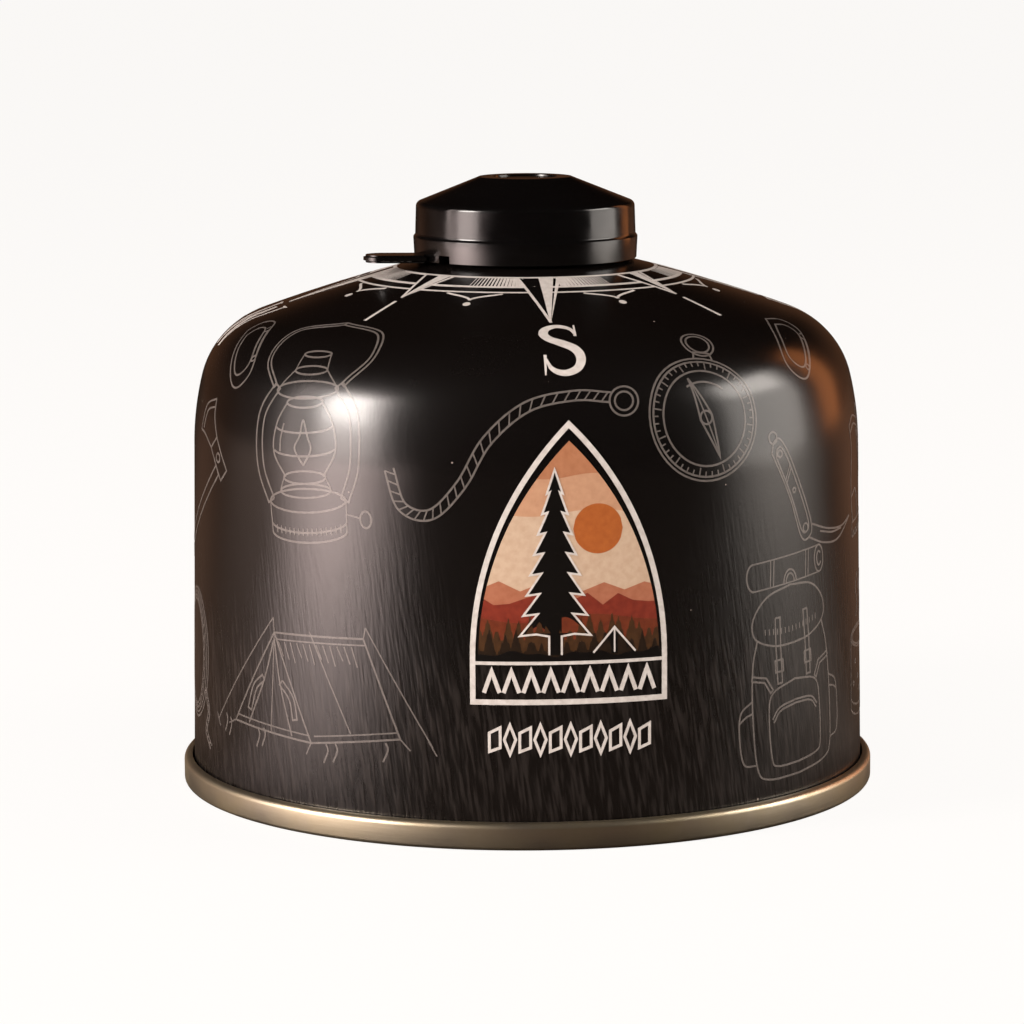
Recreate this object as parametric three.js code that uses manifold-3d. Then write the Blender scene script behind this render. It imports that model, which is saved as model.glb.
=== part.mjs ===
// A camping gas cartridge of the upright, self-sealing, screw-on kind, with its push-on cap.
// The steel can is drawn with its dome in one piece, a separate end is seamed on at the foot,
// and a valve cup with a threaded collar is crimped into the hole at the top of the dome.
// Millimetres, +Z up. The origin is the centre of the foot, on the surface that the can stands on.
import * as THREE from "three";
import { mergeVertices } from "three/addons/utils/BufferGeometryUtils.js";
import Module from "manifold-3d";

const wasm = await Module();
wasm.setup();

// Clearances
const SEAT_GAP = 0.3; // between pieces that are seamed, stacked or pushed together
const VALVE_GAP = 0.15; // between the small pieces of the valve

// Foot: the double seam and the recessed steel end
const RIM_RADIUS = 55;
const RIM_HEIGHT = 4.1;
const RIM_FOOT_ROUND = 0.6;
const RIM_TOP_ROUND = 0.9;
const SEAM_FLOOR = 0.7;
const END_SHEET = 0.5;
const SEAM_THICKNESS = 3.4; // of the whole rim, from its outside to the chuck wall inside it
const SEAM_OVERHANG = 1.59; // of the rim beyond the foot of the wall
const GROOVE_ROUND = 1.3;
const GROOVE_TOP = 5.5;
const FOOT_RING_ROUND = 2.5;
const FOOT_RING_HEIGHT = 2;
const END_DOME_HEIGHT = 11;

// Drawn can: a wall with a little taper, then three arcs up to the neck
const WALL_TAPER = 0.82; // how much less the radius is at the wall's top than at its foot
const WALL_TOP = 53.6;
const SHOULDER_RADIUS = 46;
const SHOULDER_SLOPE = 14; // degrees from upright at which the tight corner starts
const CORNER_RADIUS = 14;
const CROWN_START_SLOPE = 70;
const CROWN_END_SLOPE = 76;
const NECK_RADIUS = 12.7; // the standard one-inch opening
const NECK_SHEET = 0.4;
const NECK_FILLET = 1.2;
const BEAD_ROUND = 1.2; // the neck's edge is rolled outwards into this bead
const BEAD_LIFT = 1.95; // from the crown's end up to the middle of the bead

// Valve cup, crimped over the bead, with its collar
const CUP_SHEET = 0.4;
const CUP_GASKET = 0.35;
const CUP_GASKET_EDGE = 15; // degrees above level at which the ring ends on both sides of the bead
const CURL_EDGE_ANGLE = -25;
const CUP_DEPTH = 3.8; // from the middle of the bead down to the underside of the floor
const CUP_CORNER_ROUND = 1.4;
const COLLAR_RADIUS = 5.55; // outside of the 7/16-28 thread
const COLLAR_HEIGHT = 8.4; // above the middle of the bead
const COLLAR_ROOT_ROUND = 1.1;
const COLLAR_TOP_ROUND = 0.5;
const MOUTH_RADIUS = 3.2;

// Inside the valve
const STEM_GASKET = 1.6;
const STEM_RADIUS = 1.6;
const STEM_TOP_DROP = 0.7; // below the collar's top face
const STEM_BORE = 0.7;
const STEM_BORE_DEPTH = 4;
const STEM_SHOULDER_RADIUS = 3.2;
const STEM_SHOULDER = 1.8;
const STEM_TAIL = 4;
const STEM_TAIL_RADIUS = 1.4;
const HOUSING_WALL = 1.1;
const HOUSING_LENGTH = 15.5;
const HOUSING_INLET = 0.9;
const SPRING_WIRE = 0.3; // radius of the wire
const SPRING_RADIUS = 2.4;
const SPRING_TURNS = 6;

// Cap: one black moulding
const CAP_DROP = 0.3; // from the crown's end down to the cap's lower edge, just clear of the dome
const CAP_GRIP_GAP = 0.27; // between the cup's curl and the inside of the cap
const CAP_WALL = 1.1;
const CAP_BAND_FLARE = 0.16; // how much wider the band is at its top than at its foot
const CAP_BAND_HEIGHT = 3.65;
const CAP_STEP = 0.3;
const CAP_SIDE_DRAFT = 0.14;
const CAP_SHOULDER_HEIGHT = 8.2;
const CAP_SHOULDER_ROUND = 0.9;
const CAP_TOP_HEIGHT = 12.8;
const CAP_TOP_RADIUS = 7.3;
const CAP_DISC_RADIUS = 5;
const CAP_DISC_DEPTH = 0.25;
const TAB_LENGTH = 7.62; // beyond the band
const TAB_OFFSET = 7.2; // the tab runs beside the cap's middle, towards -Y
const TAB_HALF_WIDTH = 3;
const TAB_THICKNESS = 1.2;
const NOTCH_WIDTH = 2.4;
const NOTCH_HEIGHT = 1.3;
const NOTCH_ANGLE = 224; // degrees round from +X, just in front of the tab

// Facets round each piece
const CAN_SIDES = 48;
const VALVE_SIDES = 32;
const CORE_SIDES = 24;

// Radii that the seam ties to the rim
const chuckRadius = RIM_RADIUS - SEAM_THICKNESS; // of the upright wall just inside the rim, seen from below
const wallFootRadius = RIM_RADIUS - SEAM_OVERHANG;
const wallTopRadius = wallFootRadius - WALL_TAPER;

const radians = THREE.MathUtils.degToRad;

// Points along an arc of an outline, which is drawn as (distance from the axis, height).
function arc(middleR, middleZ, radius, from, to, steps) {
  const points = [];
  for (let i = 0; i <= steps; i++) {
    const a = radians(from + ((to - from) * i) / steps);
    points.push([middleR + radius * Math.cos(a), middleZ + radius * Math.sin(a)]);
  }
  return points;
}

// An arc that goes on from the outline's last point, from one slope off upright to a flatter one.
function leanArc([r, z], radius, from, to, steps) {
  return arc(r - radius * Math.cos(radians(from)), z - radius * Math.sin(radians(from)), radius, from, to, steps);
}

// A closed body turned about Z from its outline, with its faces pointing out whichever way it was drawn.
function turned(outline, sides) {
  let area = 0;
  outline.forEach(([r, z], i) => {
    const [nextR, nextZ] = outline[(i + 1) % outline.length];
    area += r * nextZ - nextR * z;
  });
  const way = area > 0 ? outline : [...outline].reverse();
  const onAxis = way[0][0] === 0 && way.at(-1)[0] === 0;
  const loop = onAxis ? way : [...way, way[0]];
  const points = loop.map(([r, z]) => new THREE.Vector2(r, z));
  const geometry = new THREE.LatheGeometry(points, sides);
  geometry.rotateX(Math.PI / 2);
  return merged(geometry);
}

function merged(geometry) {
  geometry.deleteAttribute("normal");
  geometry.deleteAttribute("uv");
  return mergeVertices(geometry, 1e-4);
}

function solid(geometry) {
  return new wasm.Manifold(
    new wasm.Mesh({
      numProp: 3,
      vertProperties: geometry.getAttribute("position").array,
      triVerts: new Uint32Array(geometry.index.array),
    }),
  );
}

function geometryOf(made) {
  const mesh = made.getMesh();
  return new THREE.BufferGeometry()
    .setAttribute("position", new THREE.BufferAttribute(mesh.vertProperties, 3))
    .setIndex(new THREE.BufferAttribute(mesh.triVerts, 1));
}

// The end's sheet in section, from the axis to the foot of the chuck wall, at a height above its underside.
function endPanel(offset) {
  const ringR = chuckRadius - 2 * GROOVE_ROUND - FOOT_RING_ROUND;
  const ringZ = FOOT_RING_HEIGHT + FOOT_RING_ROUND;
  const rise = END_DOME_HEIGHT - ringZ;
  const domeRadius = (ringR ** 2 + rise ** 2 - FOOT_RING_ROUND ** 2) / (2 * (FOOT_RING_ROUND + rise));
  const domeMiddle = END_DOME_HEIGHT - domeRadius;
  const lean = THREE.MathUtils.radToDeg(Math.atan2(ringR, ringZ - domeMiddle));
  const dome = arc(0, domeMiddle, domeRadius + offset, 90, 90 - lean, 3);
  dome[0][0] = 0;
  return [
    ...dome,
    ...arc(ringR, ringZ, FOOT_RING_ROUND - offset, 270 - lean, 360, 3).slice(1),
    ...arc(chuckRadius - GROOVE_ROUND, GROOVE_TOP - GROOVE_ROUND, GROOVE_ROUND + offset, 180, 0, 4),
  ];
}

function bottomEnd() {
  const slotOut = wallFootRadius + SEAT_GAP;
  return turned(
    [
      ...endPanel(0),
      ...arc(chuckRadius + RIM_FOOT_ROUND, RIM_FOOT_ROUND, RIM_FOOT_ROUND, 180, 270, 2),
      ...arc(RIM_RADIUS - RIM_FOOT_ROUND, RIM_FOOT_ROUND, RIM_FOOT_ROUND, 270, 360, 2),
      ...arc(RIM_RADIUS - RIM_TOP_ROUND, RIM_HEIGHT - RIM_TOP_ROUND, RIM_TOP_ROUND, 0, 90, 3),
      [slotOut, RIM_HEIGHT],
      [slotOut, SEAM_FLOOR],
      [chuckRadius + END_SHEET, SEAM_FLOOR],
      ...endPanel(END_SHEET).reverse(),
    ],
    CAN_SIDES,
  );
}

// Heights that the neck, the valve and the cap share, worked up from the dome.
const crownOuterR = NECK_RADIUS + NECK_SHEET + NECK_FILLET;
const shoulder = leanArc([wallTopRadius, WALL_TOP], SHOULDER_RADIUS, 0, SHOULDER_SLOPE, 3);
const corner = leanArc(shoulder.at(-1), CORNER_RADIUS, SHOULDER_SLOPE, CROWN_START_SLOPE, 7);
const crownSpan = corner.at(-1)[0] - crownOuterR;
const crownRadius = crownSpan / (Math.cos(radians(CROWN_START_SLOPE)) - Math.cos(radians(CROWN_END_SLOPE)));
const crown = leanArc(corner.at(-1), crownRadius, CROWN_START_SLOPE, CROWN_END_SLOPE, 2);
const crownTop = crown.at(-1)[1];
const beadR = NECK_RADIUS + BEAD_ROUND;
const beadZ = crownTop + BEAD_LIFT;
const curlRadius = BEAD_ROUND + CUP_GASKET + 2 * VALVE_GAP; // of the cup's face that grips the bead
const floorZ = beadZ - CUP_DEPTH;
const collarInside = COLLAR_RADIUS - CUP_SHEET;
const collarTop = beadZ + COLLAR_HEIGHT;
const stemGasketTop = collarTop - CUP_SHEET - VALVE_GAP;
const stemGasketFoot = stemGasketTop - STEM_GASKET;
const housingTop = stemGasketFoot - VALVE_GAP;
const housingRadius = collarInside - VALVE_GAP;
const housingFoot = housingTop - HOUSING_LENGTH;
const springFoot = housingFoot + HOUSING_WALL + VALVE_GAP;
const shoulderTop = stemGasketFoot - VALVE_GAP;
const shoulderFoot = shoulderTop - STEM_SHOULDER;
const capInsideR = beadR + curlRadius + CUP_SHEET + CAP_GRIP_GAP;
const capBandFootR = capInsideR + CAP_WALL;
const capBandR = capBandFootR + CAP_BAND_FLARE;
const capFoot = crownTop - CAP_DROP;

// The steel shell with its charge of fuel: sealed, so it is one solid, down to the pocket for the valve.
function canBody() {
  const clear = END_SHEET + SEAT_GAP;
  const pocketR = housingRadius + SEAT_GAP;
  const pocketFloor = floorZ - SEAT_GAP;
  return turned(
    [
      ...endPanel(clear),
      [chuckRadius + clear, SEAM_FLOOR + SEAT_GAP],
      [wallFootRadius, SEAM_FLOOR + SEAT_GAP],
      ...shoulder,
      ...corner.slice(1),
      ...crown.slice(1),
      [NECK_RADIUS + NECK_SHEET, crownTop + NECK_FILLET / 2],
      ...arc(beadR, beadZ, BEAD_ROUND, 225, 540, 9).filter(([r, z]) => z > crownTop + NECK_FILLET / 2),
      [NECK_RADIUS, pocketFloor],
      [pocketR, pocketFloor],
      [pocketR, housingFoot - SEAT_GAP],
      [0, housingFoot - SEAT_GAP],
    ],
    CAN_SIDES,
  );
}

// The valve cup's sheet in section, from the curl's edge to the collar's mouth, above the face on the can's side.
function cupSheet(offset) {
  const wallR = beadR - curlRadius;
  const rootR = collarInside + COLLAR_ROOT_ROUND;
  const rimR = collarInside - COLLAR_TOP_ROUND;
  const rimZ = collarTop - CUP_SHEET - COLLAR_TOP_ROUND;
  return [
    ...arc(beadR, beadZ, curlRadius + offset, CURL_EDGE_ANGLE, 180, 7),
    ...arc(wallR - CUP_CORNER_ROUND, floorZ + CUP_CORNER_ROUND, CUP_CORNER_ROUND - offset, 360, 270, 3),
    ...arc(rootR, floorZ + COLLAR_ROOT_ROUND, COLLAR_ROOT_ROUND - offset, 270, 180, 3),
    ...arc(rimR, rimZ, COLLAR_TOP_ROUND + offset, 0, 90, 3),
    [MOUTH_RADIUS, collarTop - CUP_SHEET + offset],
  ];
}

function valveCup() {
  return turned([...cupSheet(0), ...cupSheet(CUP_SHEET).reverse()], VALVE_SIDES);
}

function cupGasket() {
  const under = BEAD_ROUND + VALVE_GAP;
  return turned(
    [
      ...arc(beadR, beadZ, under, CUP_GASKET_EDGE, 180 - CUP_GASKET_EDGE, 5),
      ...arc(beadR, beadZ, under + CUP_GASKET, 180 - CUP_GASKET_EDGE, CUP_GASKET_EDGE, 5),
    ],
    VALVE_SIDES,
  );
}

function stemGasket() {
  return turned(
    [
      [STEM_RADIUS + VALVE_GAP, stemGasketFoot],
      [housingRadius, stemGasketFoot],
      [housingRadius, stemGasketTop],
      [STEM_RADIUS + VALVE_GAP, stemGasketTop],
    ],
    CORE_SIDES,
  );
}

function valveStem() {
  const top = collarTop - STEM_TOP_DROP;
  return turned(
    [
      [0, shoulderFoot - STEM_TAIL],
      [STEM_TAIL_RADIUS, shoulderFoot - STEM_TAIL],
      [STEM_TAIL_RADIUS, shoulderFoot],
      [STEM_SHOULDER_RADIUS, shoulderFoot],
      [STEM_SHOULDER_RADIUS, shoulderTop],
      [STEM_RADIUS, shoulderTop],
      [STEM_RADIUS, top],
      [STEM_BORE, top],
      [STEM_BORE, top - STEM_BORE_DEPTH],
      [0, top - STEM_BORE_DEPTH],
    ],
    CORE_SIDES,
  );
}

function valveHousing() {
  const floor = housingFoot + HOUSING_WALL;
  return turned(
    [
      [HOUSING_INLET, housingFoot],
      [housingRadius, housingFoot],
      [housingRadius, housingTop],
      [housingRadius - HOUSING_WALL, housingTop],
      [housingRadius - HOUSING_WALL, floor],
      [HOUSING_INLET, floor],
    ],
    CORE_SIDES,
  );
}

class Helix extends THREE.Curve {
  constructor(radius, foot, top, turns) {
    super();
    Object.assign(this, { radius, foot, top, turns });
  }

  getPoint(t, target = new THREE.Vector3()) {
    const a = 2 * Math.PI * this.turns * t;
    return target.set(
      this.radius * Math.cos(a),
      this.radius * Math.sin(a),
      THREE.MathUtils.lerp(this.foot, this.top, t),
    );
  }
}

function valveSpring() {
  const wire = new THREE.Shape();
  wire.absarc(0, 0, SPRING_WIRE, 0, 2 * Math.PI);
  const foot = springFoot + SPRING_WIRE;
  const top = shoulderFoot - VALVE_GAP - SPRING_WIRE;
  const coil = new THREE.ExtrudeGeometry(wire, {
    curveSegments: 3,
    steps: 12 * SPRING_TURNS,
    extrudePath: new Helix(SPRING_RADIUS, foot, top, SPRING_TURNS),
  });
  return merged(coil);
}

function capShell() {
  const bandTop = capFoot + CAP_BAND_HEIGHT;
  const shoulderZ = capFoot + CAP_SHOULDER_HEIGHT;
  const top = capFoot + CAP_TOP_HEIGHT;
  const sideR = capBandR - CAP_STEP;
  const shoulderR = sideR - CAP_SIDE_DRAFT;
  const slope = Math.atan2(top - shoulderZ, shoulderR - CAP_TOP_RADIUS);
  const drop = CAP_WALL / Math.cos(slope);
  const roofTurn = 90 - THREE.MathUtils.radToDeg(slope);
  const round = arc(shoulderR - CAP_SHOULDER_ROUND, shoulderZ, CAP_SHOULDER_ROUND, 0, roofTurn, 3);
  const roofAt = (r) => round.at(-1)[1] + ((round.at(-1)[0] - r) * (top - round.at(-1)[1])) /
    (round.at(-1)[0] - CAP_TOP_RADIUS);
  const ceiling = top - CAP_DISC_DEPTH - CAP_WALL;
  const ceilingR = CAP_TOP_RADIUS - (top - drop - ceiling) / Math.tan(slope);
  return turned(
    [
      [capInsideR, capFoot],
      [capBandFootR, capFoot],
      [capBandR, bandTop - CAP_STEP],
      [capBandR, bandTop],
      [sideR, bandTop + CAP_STEP],
      ...round,
      [CAP_TOP_RADIUS, top],
      [CAP_DISC_RADIUS, top],
      [CAP_DISC_RADIUS, top - CAP_DISC_DEPTH],
      [0, top - CAP_DISC_DEPTH],
      [0, ceiling],
      [Math.max(ceilingR, CAP_DISC_RADIUS), ceiling],
      [capInsideR, roofAt(capInsideR) - drop],
    ],
    CAN_SIDES,
  );
}

// A flat tongue with a round end, which starts inside the band's wall.
function capTab() {
  const middle = capBandR + TAB_LENGTH - TAB_HALF_WIDTH;
  const outline = new THREE.Shape();
  outline.moveTo(0, -TAB_HALF_WIDTH);
  outline.lineTo(0, TAB_HALF_WIDTH);
  outline.lineTo(-middle, TAB_HALF_WIDTH);
  outline.absarc(-middle, 0, TAB_HALF_WIDTH, Math.PI / 2, (3 * Math.PI) / 2);
  const tongue = new THREE.ExtrudeGeometry(outline, {
    depth: TAB_THICKNESS,
    bevelEnabled: false,
    curveSegments: 8,
  });
  tongue.translate(0, -TAB_OFFSET, capFoot);
  const inWall = capBandFootR - CAP_WALL / 2;
  const within = new THREE.CylinderGeometry(inWall, inWall, 4 * TAB_THICKNESS, CAN_SIDES);
  within.rotateX(Math.PI / 2);
  within.translate(0, 0, capFoot);
  return solid(merged(tongue)).subtract(solid(merged(within)));
}

function capNotch() {
  const cutter = new THREE.BoxGeometry(4 * CAP_WALL, NOTCH_WIDTH, 2 * NOTCH_HEIGHT);
  cutter.translate(capBandFootR, 0, 0);
  cutter.rotateZ(radians(NOTCH_ANGLE));
  cutter.translate(0, 0, capFoot);
  return solid(merged(cutter));
}

function cap() {
  return geometryOf(solid(capShell()).add(capTab()).subtract(capNotch()));
}

const fuelCanister = new THREE.Group();

function piece(name, geometry, color, roughness, metalness) {
  const mesh = new THREE.Mesh(geometry, new THREE.MeshStandardMaterial({ color, roughness, metalness }));
  mesh.name = name;
  fuelCanister.add(mesh);
}

piece("can_body", canBody(), 0x17120f, 0.3, 0);
piece("bottom_end", bottomEnd(), 0xb59c74, 0.35, 1);
piece("valve_cup", valveCup(), 0xc2a878, 0.3, 1);
piece("cup_gasket", cupGasket(), 0x1c1c1c, 0.8, 0);
piece("stem_gasket", stemGasket(), 0x222222, 0.8, 0);
piece("valve_stem", valveStem(), 0xe4e2dc, 0.5, 0);
piece("valve_spring", valveSpring(), 0xb8bcc0, 0.3, 1);
piece("valve_housing", valveHousing(), 0xd9d7d0, 0.5, 0);
piece("cap", cap(), 0x0d0c0c, 0.2, 0);

export default fuelCanister;
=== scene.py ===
import math
import random

import bmesh
import bpy
import numpy as np
from mathutils import Matrix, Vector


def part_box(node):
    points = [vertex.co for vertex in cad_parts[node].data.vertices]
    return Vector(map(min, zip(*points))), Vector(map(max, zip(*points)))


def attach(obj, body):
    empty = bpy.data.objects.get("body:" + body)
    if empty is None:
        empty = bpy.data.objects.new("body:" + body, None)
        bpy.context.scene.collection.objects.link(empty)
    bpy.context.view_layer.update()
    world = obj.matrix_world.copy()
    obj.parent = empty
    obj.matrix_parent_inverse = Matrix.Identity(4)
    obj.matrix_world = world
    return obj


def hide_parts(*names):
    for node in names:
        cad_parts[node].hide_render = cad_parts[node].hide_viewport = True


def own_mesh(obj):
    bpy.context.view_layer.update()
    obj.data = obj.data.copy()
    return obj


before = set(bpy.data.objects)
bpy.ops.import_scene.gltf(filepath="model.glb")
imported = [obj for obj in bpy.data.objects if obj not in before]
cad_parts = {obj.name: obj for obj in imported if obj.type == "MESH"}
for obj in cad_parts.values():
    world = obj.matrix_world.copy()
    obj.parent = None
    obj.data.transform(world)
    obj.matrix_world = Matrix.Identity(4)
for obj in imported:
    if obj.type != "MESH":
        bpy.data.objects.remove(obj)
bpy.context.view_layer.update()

# The drawn can
# Tinplate steel, deep drawn so that wall and dome are one piece, with its neck rolled into a bead.
# It is lacquered black outside, and the drawing leaves faint upright streaks under the lacquer.
MM = 0.001
RIM_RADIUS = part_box("bottom_end")[1][0] / MM
WALL_FOOT = (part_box("can_body")[1][0] / MM, 1.0)
WALL_TOP = (52.59, 53.6)
SHOULDER_RADIUS = 46
SHOULDER_SLOPE = 14
CORNER_RADIUS = 14
CROWN_START_SLOPE = 70
CROWN_END_SLOPE = 76
NECK_RADIUS = 12.7
NECK_SHEET = 0.4
NECK_FILLET = 1.2
BEAD_ROUND = 1.2
BEAD_LIFT = 1.95
CHUCK_RADIUS = 51.6
GROOVE_ROUND = 1.3
GROOVE_TOP = 5.5
FOOT_RING_ROUND = 2.5
FOOT_RING_HEIGHT = 2
END_DOME_HEIGHT = 11
END_SHEET = 0.5
END_CLEARANCE = 0.8
POCKET_RADIUS = 5.3
POCKET_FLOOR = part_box("valve_housing")[0][2] / MM - 0.3
CAN_SIDES = 256
STREAK_SPACING = 0.55
STREAK_LENGTH = 5
STREAK_LEAN = 2.6
STREAK_DEPTH = 0.085
STREAK_END = (0.024, 0.052)
PEEL_SPACING = 0.55
SPECK_SPACING = 5


def linear(colour):
    """An sRGB hex colour as the linear RGBA that a shader socket takes."""
    parts = [int(colour[i:i + 2], 16) / 255 for i in (1, 3, 5)]
    return [c / 12.92 if c <= 0.04045 else ((c + 0.055) / 1.055) ** 2.4 for c in parts] + [1.0]


def add_node(tree, kind, inputs=None, **settings):
    """A node with its settings. An input takes a value, a socket or a node, which gives its first output."""
    made = tree.nodes.new(kind)
    for name, value in settings.items():
        setattr(made, name, value)
    for name, value in (inputs or {}).items():
        if isinstance(value, bpy.types.Node):
            value = value.outputs[0]
        if isinstance(value, bpy.types.NodeSocket):
            tree.links.new(value, made.inputs[name])
        else:
            made.inputs[name].default_value = value
    return made


def new_material(name):
    """An empty material with its output node, and the node tree to fill."""
    material = bpy.data.materials.new(name)
    material.use_nodes = True
    material.node_tree.nodes.clear()
    return material, material.node_tree


def arc(mid_r, mid_z, radius, start, end, steps):
    """Points of an outline, as (distance from the axis, height) in mm, along an arc."""
    angles = np.radians(np.linspace(start, end, steps + 1))
    return [(mid_r + radius * math.cos(a), mid_z + radius * math.sin(a)) for a in angles]


def lean_arc(point, radius, start, end, steps):
    """An arc that goes on from a point, from one slope off upright to a flatter one."""
    mid_r = point[0] - radius * math.cos(math.radians(start))
    mid_z = point[1] - radius * math.sin(math.radians(start))
    return arc(mid_r, mid_z, radius, start, end, steps)


def mesh_object(name, verts, faces, material, smooth_below=40):
    mesh = bpy.data.meshes.new(name)
    mesh.from_pydata(verts, [], faces)
    mesh.validate()
    mesh.shade_smooth()
    mesh.set_sharp_from_angle(angle=math.radians(smooth_below))
    mesh.materials.append(material)
    made = bpy.data.objects.new(name, mesh)
    bpy.context.scene.collection.objects.link(made)
    return made


def turned(name, outline, sides, material, shift=None):
    """A closed body turned about Z from its outline, with its faces pointing out."""
    area = sum(a[0] * b[1] - b[0] * a[1] for a, b in zip(outline, outline[1:] + outline[:1]))
    if area < 0:
        outline = outline[::-1]
    verts, rings = [], []
    for r, z in outline:
        if r < 1e-6:
            rings.append([len(verts)] * sides)
            verts.append((0, 0, z * MM))
            continue
        rings.append(list(range(len(verts), len(verts) + sides)))
        for i in range(sides):
            a = 2 * math.pi * i / sides
            out = r + (shift(r, z, a) if shift else 0)
            verts.append((out * MM * math.cos(a), out * MM * math.sin(a), z * MM))
    faces = []
    for low, high in zip(rings, rings[1:] + rings[:1]):
        for i in range(sides):
            j = (i + 1) % sides
            corners = list(dict.fromkeys([low[i], low[j], high[j], high[i]]))
            if len(corners) > 2:
                faces.append(corners)
    return mesh_object(name, verts, faces, material)


def end_panel(offset):
    """The seamed end's sheet in section, from the axis to the chuck wall, at a height above its underside."""
    ring_r = CHUCK_RADIUS - 2 * GROOVE_ROUND - FOOT_RING_ROUND
    ring_z = FOOT_RING_HEIGHT + FOOT_RING_ROUND
    rise = END_DOME_HEIGHT - ring_z
    dome_radius = (ring_r ** 2 + rise ** 2 - FOOT_RING_ROUND ** 2) / (2 * (FOOT_RING_ROUND + rise))
    dome_mid = END_DOME_HEIGHT - dome_radius
    lean = math.degrees(math.atan2(ring_r, ring_z - dome_mid))
    dome = arc(0, dome_mid, dome_radius + offset, 90, 90 - lean, 24)
    ring = arc(ring_r, ring_z, FOOT_RING_ROUND - offset, 270 - lean, 360, 14)
    groove = arc(CHUCK_RADIUS - GROOVE_ROUND, GROOVE_TOP - GROOVE_ROUND, GROOVE_ROUND + offset, 180, 0, 14)
    return [(0, dome[0][1])] + dome[1:] + ring[1:] + groove


def black_lacquer():
    """Black lacquer, rolled and stoved on drawn tinplate: glossy, slightly wavy, streaked by the draw."""
    material, tree = new_material("stoved_black_lacquer")
    place = add_node(tree, "ShaderNodeTexCoord").outputs["Object"]
    height = add_node(tree, "ShaderNodeSeparateXYZ", {"Vector": place}).outputs["Z"]
    angle = add_node(tree, "ShaderNodeMath", {0: height, 1: STREAK_LEAN}, operation="MULTIPLY")
    turned_place = add_node(tree, "ShaderNodeVectorRotate", {
        "Vector": place, "Angle": angle}, rotation_type="Z_AXIS")
    stretch = (1, 1, STREAK_SPACING / STREAK_LENGTH)
    drawn = add_node(tree, "ShaderNodeMapping", {"Vector": turned_place, "Scale": stretch})
    streaks = add_node(tree, "ShaderNodeTexNoise", {
        "Vector": drawn, "Scale": 1 / (STREAK_SPACING * MM), "Detail": 1.5})
    peel = add_node(tree, "ShaderNodeTexNoise", {
        "Vector": place, "Scale": 1 / (PEEL_SPACING * MM), "Detail": 1.0})
    patches = add_node(tree, "ShaderNodeTexNoise", {"Vector": place, "Scale": 1 / (18 * MM)})
    on_wall = add_node(tree, "ShaderNodeMapRange", {
        "Value": height, "From Min": STREAK_END[0], "From Max": STREAK_END[1], "To Min": 1.0,
        "To Max": 0.08})
    wall_streaks = add_node(tree, "ShaderNodeMath", {
        0: streaks.outputs["Fac"], 1: on_wall}, operation="MULTIPLY")
    drawn_bump = add_node(tree, "ShaderNodeBump", {
        "Height": wall_streaks, "Strength": 1.0, "Distance": STREAK_DEPTH * MM})
    bump = add_node(tree, "ShaderNodeBump", {
        "Height": peel.outputs["Fac"], "Strength": 1.0, "Distance": 0.006 * MM, "Normal": drawn_bump})
    specks = add_node(tree, "ShaderNodeTexVoronoi", {"Vector": place, "Scale": 1 / (SPECK_SPACING * MM)})
    chance = add_node(tree, "ShaderNodeSeparateColor", {"Color": specks.outputs["Color"]})
    speck_size = add_node(tree, "ShaderNodeMapRange", {"Value": chance, "To Min": -0.05, "To Max": 0.042})
    is_speck = add_node(tree, "ShaderNodeMath", {
        0: specks.outputs["Distance"], 1: speck_size}, operation="LESS_THAN")
    colour = add_node(tree, "ShaderNodeMix", {
        "Factor": is_speck, "A": linear("#0c0908"), "B": linear("#8d8078")}, data_type="RGBA")
    drawn_tone = add_node(tree, "ShaderNodeMapRange", {
        "Value": wall_streaks, "From Min": 0.46, "From Max": 0.66})
    streaked = add_node(tree, "ShaderNodeMix", {
        "Factor": drawn_tone, "A": colour.outputs["Result"], "B": linear("#221d1b")}, data_type="RGBA")
    gloss = add_node(tree, "ShaderNodeMapRange", {
        "Value": patches.outputs["Fac"], "From Min": 0.3, "From Max": 0.7, "To Min": 0.2, "To Max": 0.27})
    rough = add_node(tree, "ShaderNodeMath", {0: wall_streaks, 1: 0.12, 2: gloss}, operation="MULTIPLY_ADD")
    shader = add_node(tree, "ShaderNodeBsdfPrincipled", {
        "Base Color": streaked.outputs["Result"], "Roughness": rough, "Normal": bump,
        "IOR": 1.5, "Coat Weight": 0.25, "Coat Roughness": 0.16})
    add_node(tree, "ShaderNodeOutputMaterial", {"Surface": shader})
    return material


shoulder = lean_arc(WALL_TOP, SHOULDER_RADIUS, 0, SHOULDER_SLOPE, 12)
corner = lean_arc(shoulder[-1], CORNER_RADIUS, SHOULDER_SLOPE, CROWN_START_SLOPE, 30)
crown_end_r = NECK_RADIUS + NECK_SHEET + NECK_FILLET
crown_turn = math.cos(math.radians(CROWN_START_SLOPE)) - math.cos(math.radians(CROWN_END_SLOPE))
crown = lean_arc(corner[-1], (corner[-1][0] - crown_end_r) / crown_turn, CROWN_START_SLOPE,
                 CROWN_END_SLOPE, 12)
crown_top = crown[-1][1]
bead_r = NECK_RADIUS + BEAD_ROUND
bead_z = crown_top + BEAD_LIFT
floor_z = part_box("valve_cup")[0][2] / MM
neck_foot = crown_top + NECK_FILLET / 2
bead = [p for p in arc(bead_r, bead_z, BEAD_ROUND, 225, 540, 28) if p[1] > neck_foot]
lacquer = black_lacquer()
can_shell = turned("can_shell", end_panel(END_CLEARANCE) + [
    (CHUCK_RADIUS + END_CLEARANCE, WALL_FOOT[1]), WALL_FOOT] + shoulder + corner[1:] + crown[1:] + [
    (NECK_RADIUS + NECK_SHEET, neck_foot)] + bead + [
    (NECK_RADIUS, floor_z - 0.3), (POCKET_RADIUS, floor_z - 0.3),
    (POCKET_RADIUS, POCKET_FLOOR), (0, POCKET_FLOOR)], CAN_SIDES, lacquer)
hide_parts("can_body")
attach(can_shell, "can")

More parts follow.
